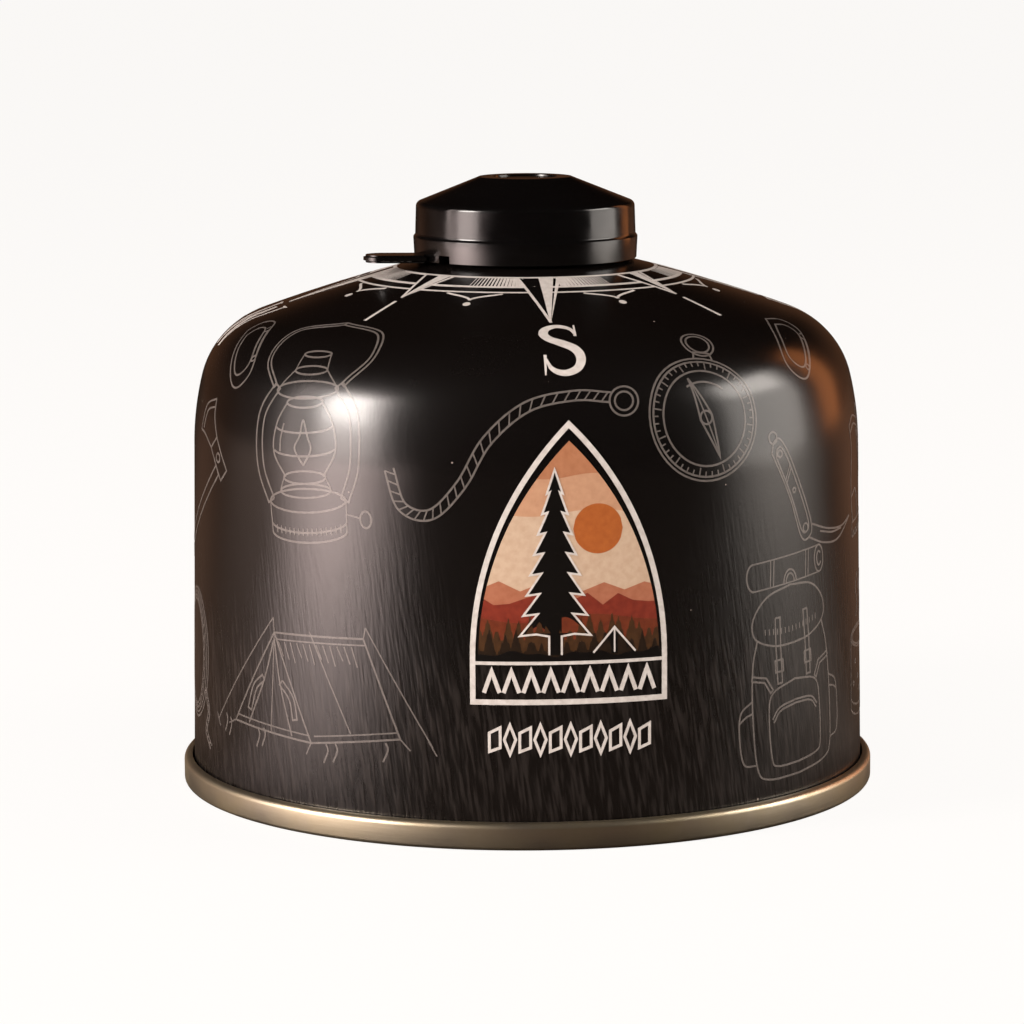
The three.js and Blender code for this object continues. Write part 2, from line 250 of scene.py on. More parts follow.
# The seamed end
# A separate disc of tinplate under a thin gold stoving varnish, pressed with a domed middle.
# Its edge is rolled twice with the wall's flange into the rim that the can stands on.
RIM_HEIGHT = 4.1
RIM_FOOT_ROUND = 0.6
RIM_TOP_ROUND = 0.9
SEAM_FLOOR = 0.7
SEAM_GAP = 0.3
ROLL_MARK_SPACING = 0.25


def gold_tinplate():
    """Tinplate under gold stoving varnish, burnished round and round by the seaming rollers."""
    material, tree = new_material("gold_varnished_tinplate")
    place = add_node(tree, "ShaderNodeTexCoord").outputs["Object"]
    rolled = add_node(tree, "ShaderNodeMapping", {"Vector": place, "Scale": (0.02, 0.02, 1)})
    marks = add_node(tree, "ShaderNodeTexNoise", {
        "Vector": rolled, "Scale": 1 / (ROLL_MARK_SPACING * MM), "Detail": 3.0})
    stains = add_node(tree, "ShaderNodeTexNoise", {"Vector": place, "Scale": 1 / (9 * MM), "Detail": 4.0})
    stained = add_node(tree, "ShaderNodeMapRange", {
        "Value": stains.outputs["Fac"], "From Min": 0.35, "From Max": 0.7})
    colour = add_node(tree, "ShaderNodeMix", {
        "Factor": stained, "A": linear("#dccfb8"), "B": linear("#c9b999")}, data_type="RGBA")
    bump = add_node(tree, "ShaderNodeBump", {
        "Height": marks.outputs["Fac"], "Strength": 0.6, "Distance": 0.02 * MM})
    rough = add_node(tree, "ShaderNodeMapRange", {
        "Value": stains.outputs["Fac"], "From Min": 0.3, "From Max": 0.7, "To Min": 0.36, "To Max": 0.48})
    shader = add_node(tree, "ShaderNodeBsdfPrincipled", {
        "Base Color": colour.outputs["Result"], "Metallic": 1.0, "Roughness": rough, "Normal": bump})
    add_node(tree, "ShaderNodeOutputMaterial", {"Surface": shader})
    return material


tinplate = gold_tinplate()
slot_out = WALL_FOOT[0] + SEAM_GAP
seamed_end = turned("seamed_end", end_panel(0) + arc(
    CHUCK_RADIUS + RIM_FOOT_ROUND, RIM_FOOT_ROUND, RIM_FOOT_ROUND, 180, 270, 6) + arc(
    RIM_RADIUS - RIM_FOOT_ROUND, RIM_FOOT_ROUND, RIM_FOOT_ROUND, 270, 360, 6) + arc(
    RIM_RADIUS - RIM_TOP_ROUND, RIM_HEIGHT - RIM_TOP_ROUND, RIM_TOP_ROUND, 0, 90, 8) + [
    (slot_out, RIM_HEIGHT), (slot_out, SEAM_FLOOR), (CHUCK_RADIUS + END_SHEET, SEAM_FLOOR)] + end_panel(
    END_SHEET)[::-1], CAN_SIDES, tinplate)
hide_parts("bottom_end")
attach(seamed_end, "can")

# The compass rose
# White ink rolled onto the flat sheet before it was drawn, lying on the lacquer round the neck.
# It is the usual rose of eight split points, with rings, dots and the four letters.
FRONT = 6.9
ROSE_FRONT = 5.8
INK_LIFT = 0.03
INK_SINK = 0.08
INK_LAYER = 0.012
INK_STEP = 1.2
RING_RADII = ((20.6, 0.55), (24.4, 0.6), (26.5, 0.4))
POINT_ROOT = 20.9
LONG_POINT = (37.3, 9.0)
SHORT_POINT = (29.8, 8.0)
TICK_ENDS = (31.2, 38.3)
DOT_RADIUS = 31.0
DOT_SIZE = 0.62
BRACKET = (4.4, 26.7, 2.9)    # its half width, its radius and its rise
LETTER_FOOT = 70.4
LETTER_SIZE = (7.6, 12.6)
HATCH_COUNT = 15
HATCH_STEP = 1.35
HATCH_START = 7.6
HATCH_BAR = 0.56
HATCH_RADII = (20.9, 24.2)

profile = np.array([WALL_FOOT] + shoulder + corner[1:] + crown[1:])
profile_run = WALL_FOOT[1] + np.concatenate([[0], np.cumsum(np.hypot(*np.diff(profile, axis=0).T))])
slope_run = profile_run[:-1] + np.diff(profile_run) / 2
profile_step = np.diff(profile, axis=0) / np.diff(profile_run)[:, None]


def on_can(angle, run, lift):
    """Points on the can's outside, from degrees round from the front and mm run up the wall and dome."""
    a = np.radians(angle)
    r = np.interp(run, profile_run, profile[:, 0])
    z = np.interp(run, profile_run, profile[:, 1])
    out = np.interp(run, slope_run, profile_step[:, 1])
    up = -np.interp(run, slope_run, profile_step[:, 0])
    r, z = r + out * lift, z + up * lift
    return np.stack([r * np.sin(a), -r * np.cos(a), z], -1) * MM


def run_at(radius):
    """How far up the can a ring of this radius on the dome lies."""
    return np.interp(-np.asarray(radius, float), -profile[::-1, 0][::-1], profile_run)


def placed(grid, angle, run, turn=0.0, scale=1.0):
    """A drawing in mm on the flat, laid on the can at an angle and a run, without stretching its width."""
    grid = np.asarray(grid, float) * scale
    c, s = math.cos(math.radians(turn)), math.sin(math.radians(turn))
    u = grid[..., 0] * c - grid[..., 1] * s
    v = grid[..., 0] * s + grid[..., 1] * c + run
    r = np.interp(v, profile_run, profile[:, 0])
    return np.stack([angle + np.degrees(u / r), v], -1)


def inked(name, grids, ink, layer=0):
    """Closed skins of ink, one for each grid of (angle, run) points."""
    verts, faces = [], []
    for grid in grids:
        grid = np.asarray(grid, float)
        rows, cols = grid.shape[:2]
        top = on_can(grid[..., 0], grid[..., 1], INK_LIFT + INK_LAYER * layer).reshape(-1, 3)
        low = on_can(grid[..., 0], grid[..., 1], -INK_SINK).reshape(-1, 3)
        first = len(verts)
        under = first + len(top)
        verts += [tuple(p) for p in top] + [tuple(p) for p in low]
        for i in range(rows - 1):
            for j in range(cols - 1):
                a, b = i * cols + j, i * cols + j + 1
                c, d = b + cols, a + cols
                faces.append([first + k for k in (a, b, c, d)])
                faces.append([under + k for k in (d, c, b, a)])
        edge = [j for j in range(cols)] + [i * cols + cols - 1 for i in range(1, rows)]
        edge += [(rows - 1) * cols + j for j in range(cols - 2, -1, -1)] + [i * cols
            for i in range(rows - 2, 0, -1)]
        for a, b in zip(edge, edge[1:] + edge[:1]):
            faces.append([first + b, first + a, under + a, under + b])
    made = mesh_object(name, verts, faces, ink, 60)
    shaped = bmesh.new()
    shaped.from_mesh(made.data)
    bmesh.ops.remove_doubles(shaped, verts=shaped.verts, dist=1e-7)
    bmesh.ops.recalc_face_normals(shaped, faces=shaped.faces)
    shaped.to_mesh(made.data)
    shaped.free()
    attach(made, "can")
    return made


def stroke(points, width, closed=False):
    """A line of even or changing width through points, as a grid two points wide."""
    points = np.asarray(points, float)
    if closed:
        points = np.vstack([points, points[:1]])
    widths = np.broadcast_to(np.asarray(width, float), len(points))
    dense, wide = [points[0]], [widths[0]]
    for a, b, wa, wb in zip(points, points[1:], widths, widths[1:]):
        steps = max(1, math.ceil(math.dist(a, b) / INK_STEP))
        for k in range(1, steps + 1):
            dense.append(a + (b - a) * k / steps)
            wide.append(wa + (wb - wa) * k / steps)
    dense, wide = np.array(dense), np.array(wide)
    along = np.diff(dense, axis=0)
    along /= np.linalg.norm(along, axis=1)[:, None] + 1e-12
    before, after = np.vstack([along[:1], along]), np.vstack([along, along[-1:]])
    if closed:
        before[0] = after[-1] = along[-1]
        after[-1] = along[0]
    mean = before + after
    mean /= np.linalg.norm(mean, axis=1)[:, None] + 1e-12
    reach = np.clip(1 / np.maximum((mean * before).sum(1), 0.35), 1, 2.5)
    side = np.stack([-mean[:, 1], mean[:, 0]], -1) * (wide * reach / 2)[:, None]
    return np.stack([dense - side, dense + side], 1)


def oval(mid_x, mid_y, radius_x, radius_y=None, start=0, end=360, steps=28):
    """Points along a circle, an ellipse or a part of one."""
    a = np.radians(np.linspace(start, end, steps + 1))
    wide = radius_x if radius_y is None else radius_y
    return np.stack([mid_x + radius_x * np.cos(a), mid_y + wide * np.sin(a)], -1)


def field(xs, low, high, row=INK_STEP):
    """A patch between two edges over xs, with rows close enough to follow the can."""
    xs, low, high = (np.asarray(v, float) for v in (xs, low, high))
    rows = max(2, math.ceil(float((high - low).max()) / row) + 1)
    share = np.linspace(0, 1, rows)[:, None]
    return np.stack([np.broadcast_to(xs, (rows, len(xs))), low + (high - low) * share], -1)


def curve(points, steps=6):
    """A curve through points."""
    p = np.asarray(points, float)
    p = np.vstack([2 * p[0] - p[1], p, 2 * p[-1] - p[-2]])
    made = []
    for a, b, c, d in zip(p, p[1:], p[2:], p[3:]):
        for t in np.linspace(0, 1, steps, endpoint=False):
            made.append(0.5 * (2 * b + (c - a) * t + (2 * a - 5 * b + 4 * c - d) * t ** 2
                               + (3 * b - a - 3 * c + d) * t ** 3))
    return np.array(made + [p[-2]])


def ink(name, colour, shade):
    """Offset ink stoved under clear varnish: flat colour, a little uneven where the roller lifted."""
    material, tree = new_material(name)
    place = add_node(tree, "ShaderNodeTexCoord").outputs["Object"]
    mottle = add_node(tree, "ShaderNodeTexNoise", {"Vector": place, "Scale": 1 / (0.9 * MM), "Detail": 4.0})
    thinned = add_node(tree, "ShaderNodeMapRange", {
        "Value": mottle.outputs["Fac"], "From Min": 0.35, "From Max": 0.75})
    tone = add_node(tree, "ShaderNodeMix", {
        "Factor": thinned, "A": linear(colour), "B": linear(shade)}, data_type="RGBA")
    bump = add_node(tree, "ShaderNodeBump", {
        "Height": mottle.outputs["Fac"], "Strength": 0.5, "Distance": 0.004 * MM})
    shader = add_node(tree, "ShaderNodeBsdfPrincipled", {
        "Base Color": tone.outputs["Result"], "Roughness": 0.34, "Normal": bump,
        "Coat Weight": 0.3, "Coat Roughness": 0.15})
    add_node(tree, "ShaderNodeOutputMaterial", {"Surface": shader})
    return material


def ring_stroke(radius, width, start=0.0, end=360.0):
    """A band of ink round the dome at a radius."""
    angles = np.linspace(start, end, max(2, int((end - start) / 2.5) + 1))
    inner, outer = run_at(radius - width / 2), run_at(radius + width / 2)
    return np.stack([np.stack([angles, np.full_like(angles, inner)], -1),
                     np.stack([angles, np.full_like(angles, outer)], -1)], 1)


def radial(points):
    """Plan points, as mm sideways and mm from the axis, turned to angle and run."""
    points = np.asarray(points, float)
    distance = np.hypot(points[..., 0], points[..., 1])
    return np.stack([np.degrees(np.arctan2(points[..., 0], points[..., 1])), run_at(distance)], -1)


def star_point(tip, half_degrees, outline=0.42):
    """A split point: its left half black in an outline, its right half filled but for a fine line."""
    half = POINT_ROOT * math.sin(math.radians(half_degrees))
    foot = POINT_ROOT * math.cos(math.radians(half_degrees))
    steps = np.linspace(0, 1, 14)
    edge = np.stack([half * (1 - steps), foot + (tip - foot) * steps], -1)
    spine = np.stack([np.full_like(steps, 0.12), POINT_ROOT + (tip - POINT_ROOT) * steps], -1)
    left = edge * (-1, 1)
    inner, outer = edge * (0.66, 1), edge * (0.8, 1)
    filled = np.stack([np.minimum(spine, inner + (0, 9)), inner], 1)
    white = [filled, np.stack([outer, edge], 1), stroke(left, outline),
             stroke(spine * (0, 1), outline * 0.7)]
    return [radial(g) for g in white], [radial(np.stack([left, spine * (0, 1)], 1))]


def turned_round(grids, angle):
    return [g + (angle, 0) for g in grids]


def serif_s():
    """The letter S in a box one wide and one high, as a stroke that swells along its spine."""
    spine = curve([(0.80, 0.74), (0.73, 0.89), (0.50, 0.965), (0.27, 0.90), (0.19, 0.76), (0.28, 0.63),
                   (0.50, 0.53), (0.74, 0.41), (0.83, 0.25), (0.74, 0.10), (0.48, 0.035), (0.24, 0.10),
                   (0.14, 0.27)])
    weight = np.interp(np.linspace(0, 1, len(spine)), [0, 0.12, 0.3, 0.5, 0.7, 0.88, 1],
                       [0.03, 0.12, 0.18, 0.22, 0.18, 0.12, 0.03])
    return [(spine, weight), ([(0.83, 0.99), (0.80, 0.70)], [0.03, 0.06]),
            ([(0.11, 0.01), (0.14, 0.31)], [0.03, 0.06])]


def straight_letter(bars):
    return [([a, b], w) for a, b, w in bars]


def serifs(*feet):
    return [((x - 0.14, y), (x + 0.14, y), 0.045) for x, y in feet]


LETTERS = {
    0: serif_s(), 90: straight_letter([((0.24, 0), (0.24, 1), 0.17), ((0.1, 0.97), (0.84, 0.97), 0.08),
                         ((0.1, 0.03), (0.88, 0.03), 0.08), ((0.24, 0.51), (0.64, 0.51), 0.08),
                         ((0.80, 0.98), (0.80, 0.78), 0.07), ((0.84, 0.02), (0.84, 0.24), 0.07),
                         ((0.62, 0.42), (0.62, 0.60), 0.07)]),
    180: straight_letter([((0.16, 0), (0.16, 1), 0.07), ((0.16, 0.98), (0.84, 0.02), 0.19),
                          ((0.84, 0), (0.84, 1), 0.07)]
                         + serifs((0.12, 0.02), (0.12, 0.98), (0.88, 0.98))),
    270: straight_letter([((0.02, 0.98), (0.28, 0.02), 0.17), ((0.28, 0.02), (0.5, 0.9), 0.07),
                          ((0.5, 0.9), (0.76, 0.02), 0.17), ((0.76, 0.02), (1.0, 0.98), 0.07)]
                         + serifs((0.03, 0.98), (0.97, 0.98))),
}
white_ink = ink("white_offset_ink", "#c9c2bd", "#b3aaa4")
rose = [ring_stroke(radius, width) for radius, width in RING_RADII]
point_skins, dark_halves = [], []
for quarter in range(4):
    for size, bearing in ((SHORT_POINT, 90 * quarter + 45), (LONG_POINT, 90 * quarter)):
        white, black = star_point(*size)
        point_skins += turned_round(white, bearing)
        dark_halves += turned_round(black, bearing)
    tick = np.stack([np.zeros(8), np.linspace(*TICK_ENDS, 8)], -1)
    rose += turned_round([radial(stroke(tick, 0.5))], 90 * quarter + 45)
for eighth in range(8):
    middle = 45 * eighth + 22.5
    dot_x = np.linspace(-DOT_SIZE, DOT_SIZE, 9)
    dot_edge = DOT_SIZE * np.sqrt(1 - np.linspace(-1, 1, 9) ** 2 * 0.999)
    dot = radial(field(dot_x, DOT_RADIUS - dot_edge, DOT_RADIUS + dot_edge))
    sweep = np.linspace(0, 1, 12)
    for side in (-1, 1):
        out = BRACKET[1] + BRACKET[2] * sweep ** 0.75
        bracket = np.stack([side * BRACKET[0] * (1 - sweep) ** 2, out], -1)
        rose += turned_round([radial(stroke(bracket, 0.42))], middle)
    rose += turned_round([dot], middle)
letters = []
for bearing, strokes in LETTERS.items():
    for points, width in strokes:
        sized = (np.asarray(points, float) - (0.5, 0)) * LETTER_SIZE
        letters.append(placed(stroke(sized, np.asarray(width) * LETTER_SIZE[0]), bearing, LETTER_FOOT))
inked("compass_rose", turned_round(rose, ROSE_FRONT), white_ink)
inked("compass_dark_halves", turned_round(dark_halves, ROSE_FRONT), lacquer, 1)
inked("compass_points", turned_round(point_skins, ROSE_FRONT), white_ink, 2)
inked("compass_letters", turned_round(letters, FRONT), white_ink)


def group(name, sizes):
    """An empty Geometry Nodes tree with one output and named inputs, each with its first value."""
    tree = bpy.data.node_groups.new(name, "GeometryNodeTree")
    tree.interface.new_socket("Geometry", in_out="OUTPUT", socket_type="NodeSocketGeometry")
    for label, (kind, value) in sizes.items():
        tree.interface.new_socket(label, in_out="INPUT", socket_type="NodeSocket"
                                  + kind).default_value = value
    return tree, add_node(tree, "NodeGroupInput").outputs


def grown(name, tree, values=None):
    """A plain mesh object from a Geometry Nodes tree, with its inputs set."""
    carrier = bpy.data.objects.new(name + "_tree", bpy.data.meshes.new(name + "_tree"))
    bpy.context.scene.collection.objects.link(carrier)
    modifier = carrier.modifiers.new("grow", "NODES")
    modifier.node_group = tree
    for item in tree.interface.items_tree:
        if item.in_out == "INPUT" and item.name in (values or {}):
            modifier[item.identifier] = values[item.name]
    bpy.context.view_layer.update()
    evaluated = carrier.evaluated_get(bpy.context.evaluated_depsgraph_get())
    mesh = bpy.data.meshes.new_from_object(evaluated)
    bpy.data.objects.remove(carrier)
    made = bpy.data.objects.new(name, mesh)
    bpy.context.scene.collection.objects.link(made)
    return made


def hatch_tree(material):
    """Bars of ink that thin out to both sides of a long point, repeated at the four quarters."""
    tree, given = group("compass_hatching", {
        "Count": ("Int", HATCH_COUNT), "Step": ("Float", HATCH_STEP), "Start": ("Float", HATCH_START),
        "Front": ("Float", ROSE_FRONT), "Inner": ("Float", HATCH_RADII[0] * MM),
        "Outer": ("Float", HATCH_RADII[1] * MM), "Height": ("Float", 81.2 * MM), "Slope": ("Float", 14.5),
        "Bar": ("Float", HATCH_BAR * MM)})
    length = add_node(tree, "ShaderNodeMath", {0: given["Outer"], 1: given["Inner"]}, operation="SUBTRACT")
    size = add_node(tree, "ShaderNodeCombineXYZ", {"X": length, "Y": given["Bar"], "Z": 0.1 * MM})
    bar = add_node(tree, "GeometryNodeMeshCube", {"Size": size})
    count = add_node(tree, "ShaderNodeMath", {0: given["Count"], 1: 8.0}, operation="MULTIPLY")
    line = add_node(tree, "GeometryNodePoints", {"Count": count})
    index = add_node(tree, "GeometryNodeInputIndex")
    place = add_node(tree, "ShaderNodeMath", {0: index, 1: given["Count"]}, operation="MODULO")
    wing = add_node(tree, "ShaderNodeMath", {0: index, 1: given["Count"]}, operation="DIVIDE")
    whole = add_node(tree, "ShaderNodeMath", {0: wing}, operation="FLOOR")
    side = add_node(tree, "ShaderNodeMath", {0: whole, 1: 2.0}, operation="MODULO")
    sign = add_node(tree, "ShaderNodeMapRange", {"Value": side, "To Min": -1.0})
    half = add_node(tree, "ShaderNodeMath", {0: whole, 1: 2.0}, operation="DIVIDE")
    quarter = add_node(tree, "ShaderNodeMath", {0: half}, operation="FLOOR")
    quarter_turn = add_node(tree, "ShaderNodeMath", {
        0: quarter, 1: 90.0, 2: given["Front"]}, operation="MULTIPLY_ADD")
    away = add_node(tree, "ShaderNodeMath", {
        0: place, 1: given["Step"], 2: given["Start"]}, operation="MULTIPLY_ADD")
    bearing = add_node(tree, "ShaderNodeMath", {
        0: away, 1: sign, 2: quarter_turn}, operation="MULTIPLY_ADD")
    spin_degrees = add_node(tree, "ShaderNodeMath", {0: bearing, 1: -90.0}, operation="ADD")
    spin = add_node(tree, "ShaderNodeMath", {0: spin_degrees}, operation="RADIANS")
    middle = add_node(tree, "ShaderNodeMath", {0: given["Outer"], 1: given["Inner"]}, operation="ADD")
    mid_r = add_node(tree, "ShaderNodeMath", {0: middle, 1: 0.5}, operation="MULTIPLY")
    cosine = add_node(tree, "ShaderNodeMath", {0: spin}, operation="COSINE")
    x = add_node(tree, "ShaderNodeMath", {0: cosine, 1: mid_r}, operation="MULTIPLY")
    sine = add_node(tree, "ShaderNodeMath", {0: spin}, operation="SINE")
    y = add_node(tree, "ShaderNodeMath", {0: sine, 1: mid_r}, operation="MULTIPLY")
    spot = add_node(tree, "ShaderNodeCombineXYZ", {"X": x, "Y": y, "Z": given["Height"]})
    set_place = add_node(tree, "GeometryNodeSetPosition", {"Geometry": line, "Position": spot})
    tilt = add_node(tree, "ShaderNodeMath", {0: given["Slope"]}, operation="RADIANS")
    turn = add_node(tree, "ShaderNodeCombineXYZ", {"Y": tilt, "Z": spin})
    thin = add_node(tree, "ShaderNodeMath", {0: place, 1: given["Count"]}, operation="DIVIDE")
    width = add_node(tree, "ShaderNodeMapRange", {"Value": thin, "To Min": 1.0, "To Max": 0.1})
    scale = add_node(tree, "ShaderNodeCombineXYZ", {"X": 1.0, "Y": width, "Z": 1.0})
    bars = add_node(tree, "GeometryNodeInstanceOnPoints", {
        "Points": set_place, "Instance": bar.outputs["Mesh"], "Rotation": turn, "Scale": scale})
    real = add_node(tree, "GeometryNodeRealizeInstances", {"Geometry": bars})
    painted = add_node(tree, "GeometryNodeSetMaterial", {"Geometry": real, "Material": material})
    add_node(tree, "NodeGroupOutput", {"Geometry": painted})
    return tree


hatch_high, hatch_low = (on_can(0.0, run_at(r), INK_LIFT - 0.05)[2] for r in HATCH_RADII)
hatch_slope = math.degrees(math.atan2(hatch_high - hatch_low, (HATCH_RADII[1] - HATCH_RADII[0]) * MM))
compass_hatching = grown("compass_hatching", hatch_tree(white_ink), {
    "Height": float(hatch_low + hatch_high) / 2, "Slope": hatch_slope})
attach(compass_hatching, "can")

# The line drawings
# Thin grey ink in the same printing, of things that are taken on a camping trip.
# They stand round the whole wall and lean up onto the shoulder.
LINE_WIDTH = 0.3
FINE_WIDTH = 0.22


def tube(points, half):
    """Both sides of a bar or a strap along a path, closed at its ends."""
    path = np.asarray(points, float)
    along = np.gradient(path, axis=0)
    side = np.stack([-along[:, 1], along[:, 0]], -1) / np.linalg.norm(along, axis=1)[:, None] * half
    return np.vstack([path + side, (path - side)[::-1], (path + side)[:1]])


def mirrored(lines):
    """The lines and their mirror images."""
    return list(lines) + [np.asarray(line, float) * (-1, 1) for line in lines]


def moved(lines, x, y):
    return [np.asarray(line, float) + (x, y) for line in lines]


def lantern():
    """A paraffin lantern with its globe, air tubes, guard wires and bail."""
    lines = mirrored([
        [(7, 1.6), (7.2, 6)], curve([(3.6, 9.4), (5.9, 13), (5.3, 17), (3.3, 20)]), [(4.8, 7.6), (4, 9.2)],
        [(5.8, 21.8), (3, 24.8)], [(3, 24.8), (2.5, 27.6)],
        tube(curve([(7, 6), (9, 11), (8.8, 18), (5.8, 22.4)]), 0.7),
        tube(curve([(6.4, 22.4), (9.6, 27), (7.4, 33), (0, 35.6)]), 0.35)])
    lines += [oval(0, 1.6, 7, 1.6, 180, 360), oval(0, 6, 7.2, 1.7), oval(0, 7.4, 4.8, 1.0),
              oval(0, 9.3, 4, 0.9), oval(0, 20, 3.4, 0.8), oval(0, 21.8, 5.8, 1.3), oval(0, 24.8, 3, 0.7),
              oval(0, 27.6, 2.5, 0.6), oval(0, 3.0, 7.1, 1.6, 186, 354),
              curve([(0, 11), (-1.6, 13.4), (-0.6, 15.2), (0, 17.4), (0.9, 15), (1.5, 13.2), (0, 11)]),
              oval(0, 13.4, 5.8, 1.1, 188, 352), oval(0, 16.6, 5.4, 1.0, 188, 352), [(7.2, 4), (9.4, 3.4)],
              oval(10.2, 3.2, 0.9, 1.2, steps=12), curve([(-4.6, 13), (-4.4, 15), (-3.8, 17)])]
    return lines + [[(x, 1.9 - 0.9 * math.sqrt(1 - (x / 7) ** 2)),
                     (x, 3.2 - 1.2 * math.sqrt(1 - (x / 7) ** 2))]
                    for x in np.linspace(-6, 6, 15)]


def tent():
    """A ridge tent with its door rolled back, seams, guy lines and pegs."""
    lines = [[(-14, 0), (-3, 18), (7, 0), (-14, 0)], [(-3, 18), (17, 20), (25, 3.4), (7, 0)],
             [(-3, 18), (-3.4, 20.6)], [(17, 20), (17.3, 22)], [(-3, 0.2), (-3, 17.4)],
             curve([(-3, 17), (-5.4, 9), (-9.5, 0.4)]), curve([(-3, 17), (-1, 9), (2.4, 0.4)]),
             tube(curve([(-5.6, 9.4), (-8.0, 7.2), (-9.4, 3)]), 0.55),
             tube(curve([(-0.8, 9.4), (1.9, 7.0), (3.0, 3.4)]), 0.55), [(-3.4, 20.6), (-21, -1.4)],
             [(17.3, 22), (31, 2.6)], [(-21.8, -0.4), (-20.2, -2.6)], [(30.2, 3.6), (31.8, 1.2)],
             [(-14, 0), (-16.6, -1.2)], [(7, 0), (6, -2.2)], [(25, 3.4), (27, 1.6)],
             [(-13.3, 1.2), (6.6, 1.2)], [(7.6, 1.3), (24.6, 4.5)], [(5.6, 19.6), (15.4, 3.0)],
             [(-2.4, 16.9), (17.4, 18.9)]]
    lines += [curve([(x, y), (x + 0.8, y + 2.2), (x + 0.3, y + 3.4)], 4)
              for x, y in ((-18, -3), (-16.4, -3.4), (10, -3), (12, -2.6), (22, -1), (-7, -3.4),
                           (-5.4, -3))]
    return lines + [[(-1.8 + 1.5 * k, 16.6 + 0.15 * k), (-0.4 + 1.5 * k, 14.2 + 0.15 * k - 0.5 * (k % 3))]
                    for k in range(12)]


def kettle():
    """A kettle with its bail, over a ring of stones and a fire."""
    flame = curve([(0, -12), (-3.4, -9.6), (-3, -6.6), (-0.8, -3.4), (-0.4, -5.4), (1.8, -7.4),
                   (2.9, -9.8), (0, -12)])
    lines = mirrored([curve([(8, 0), (9.4, 3), (8.6, 7.4), (5, 10.4)]),
                      tube(curve([(7.2, 9.4), (10.4, 15), (6, 20.4), (0, 21.6)]), 0.4)])
    lines += [oval(0, 0, 8, 1.7, 180, 360), oval(0, 10.4, 5, 1.1), oval(0, 11.4, 3.6, 0.8, 0, 180),
              oval(0, 13.2, 1.1, 0.9), curve([(8.6, 2.6), (12, 4.4), (13.4, 8.6), (16, 10.2)]),
              curve([(8.9, 5.6), (10.6, 7.0), (12, 10.6), (15.2, 12)]), [(16, 10.2), (15.2, 12)],
              oval(0, 2.4, 9.1, 1.9, 190, 350), curve([(-7, 3), (-7.4, 5.4), (-6.4, 8)]), flame,
              flame * (0.5, 0.5) + (0, -6.0), flame * (0.7, 0.7) + (4.4, -3.2),
              flame * (0.6, 0.6) + (-4.6, -4.4), tube([(-11, -11), (9, -14)], 0.6),
              tube([(11, -11), (3.4, -12.2)], 0.6), tube([(-3.4, -13.4), (-9.6, -14.4)], 0.6)]
    return lines + [oval(x, -15.6 + 0.3 * abs(x) / 4, 1.9, 1.1) for x in (-12, -7.4, -2.6, 2.6, 7.4, 12)]


def mug():
    """An enamel mug with steam."""
    lines = [oval(0, 12, 7, 1.8), oval(0, 12, 6.3, 1.4), [(-7, 12), (-6.4, 1)], [(7, 12), (6.4, 1)],
             oval(0, 1, 6.4, 1.6, 180, 360),
             tube(curve([(6.9, 9.8), (10.2, 9.4), (10.8, 6), (6.5, 3.4)]), 0.6),
             oval(0, 2.6, 6.5, 1.6, 190, 350)]
    lines += [curve([(x, 15), (x + 1.2, 17), (x - 0.6, 19.4), (x + 0.8, 22)]) for x in (-3, 0, 3)]
    return lines + [oval(x, y, 0.45, 0.35, steps=8)
                    for x, y in ((-3.4, 8), (-0.6, 5.4), (2.6, 8.6), (4.2, 5), (-4.6, 4.6), (1.2, 3.4))]


def pine(high, wide):
    """A fir with stepped boughs."""
    edge = [(0, high)]
    for k in range(1, 8):
        y = high - high * 0.84 * k / 7
        edge += [(wide / 2 * (k / 7) ** 0.85, y), (wide / 4 * k / 7, y + high * 0.03)]
    base = high * 0.16
    boughs = [[(0, high * t), (wide * 0.14 * (1.1 - t), high * (t - 0.06))]
              for t in (0.84, 0.72, 0.6, 0.48, 0.36, 0.26)]
    return mirrored([edge, [(0, base), (wide * 0.12, base)], [(0.6, base), (0.8, 0)]] + boughs)


def wood():
    """Firs on a slope with a path."""
    lines = (moved(pine(22, 12), -13, 0) + moved(pine(29, 15), 0, -1) + moved(pine(19, 11), 12, 1)
             + moved(pine(14, 8), 20, 2))
    return lines + [curve([(-22, -1), (-13, 0.6), (0, -1), (12, 1.4), (26, 1)]),
                    curve([(-4, -8), (-1, -5.4), (5, -4), (7, -1.6), (4, 0)]),
                    curve([(2, -8.4), (4, -6), (9, -4.6), (10.4, -1.6), (8, 0.4)])]


def peaks():
    """A range with snow lines and a low moon."""
    lines = [[(-24, 0), (-15, 13), (-11.6, 9.6), (-2, 22), (5, 11), (8.6, 14.4), (14, 6.6),
              (17, 9), (24, 0)],
             [(-17.4, 9.6), (-15.4, 8.2), (-14, 10), (-12.6, 7.6), (-11.6, 9.6)],
             [(-6.2, 16.6), (-4, 14), (-2.4, 16.8), (-0.6, 13.4), (1.2, 16.6), (1.6, 16.4)],
             oval(15, 18, 3.6), oval(16.4, 18.6, 3.1, None, 125, 262, 14)]
    lines += [[(x, y), (x + 0.9 * d, y - d)] for x, y, d in (
        (-2, 22, 5), (-15, 13, 3), (8.6, 14.4, 3.4), (-1, 17.6, 3), (-13.4, 8.6, 4), (9.6, 10.4, 4),
        (17, 9, 3), (1, 12.4, 5))]
    return lines + [[(-24 + 3 * k, -1.8 - 0.5 * (k % 2)), (-22 + 3 * k, -1.8 - 0.5 * (k % 2))]
                    for k in range(16)]


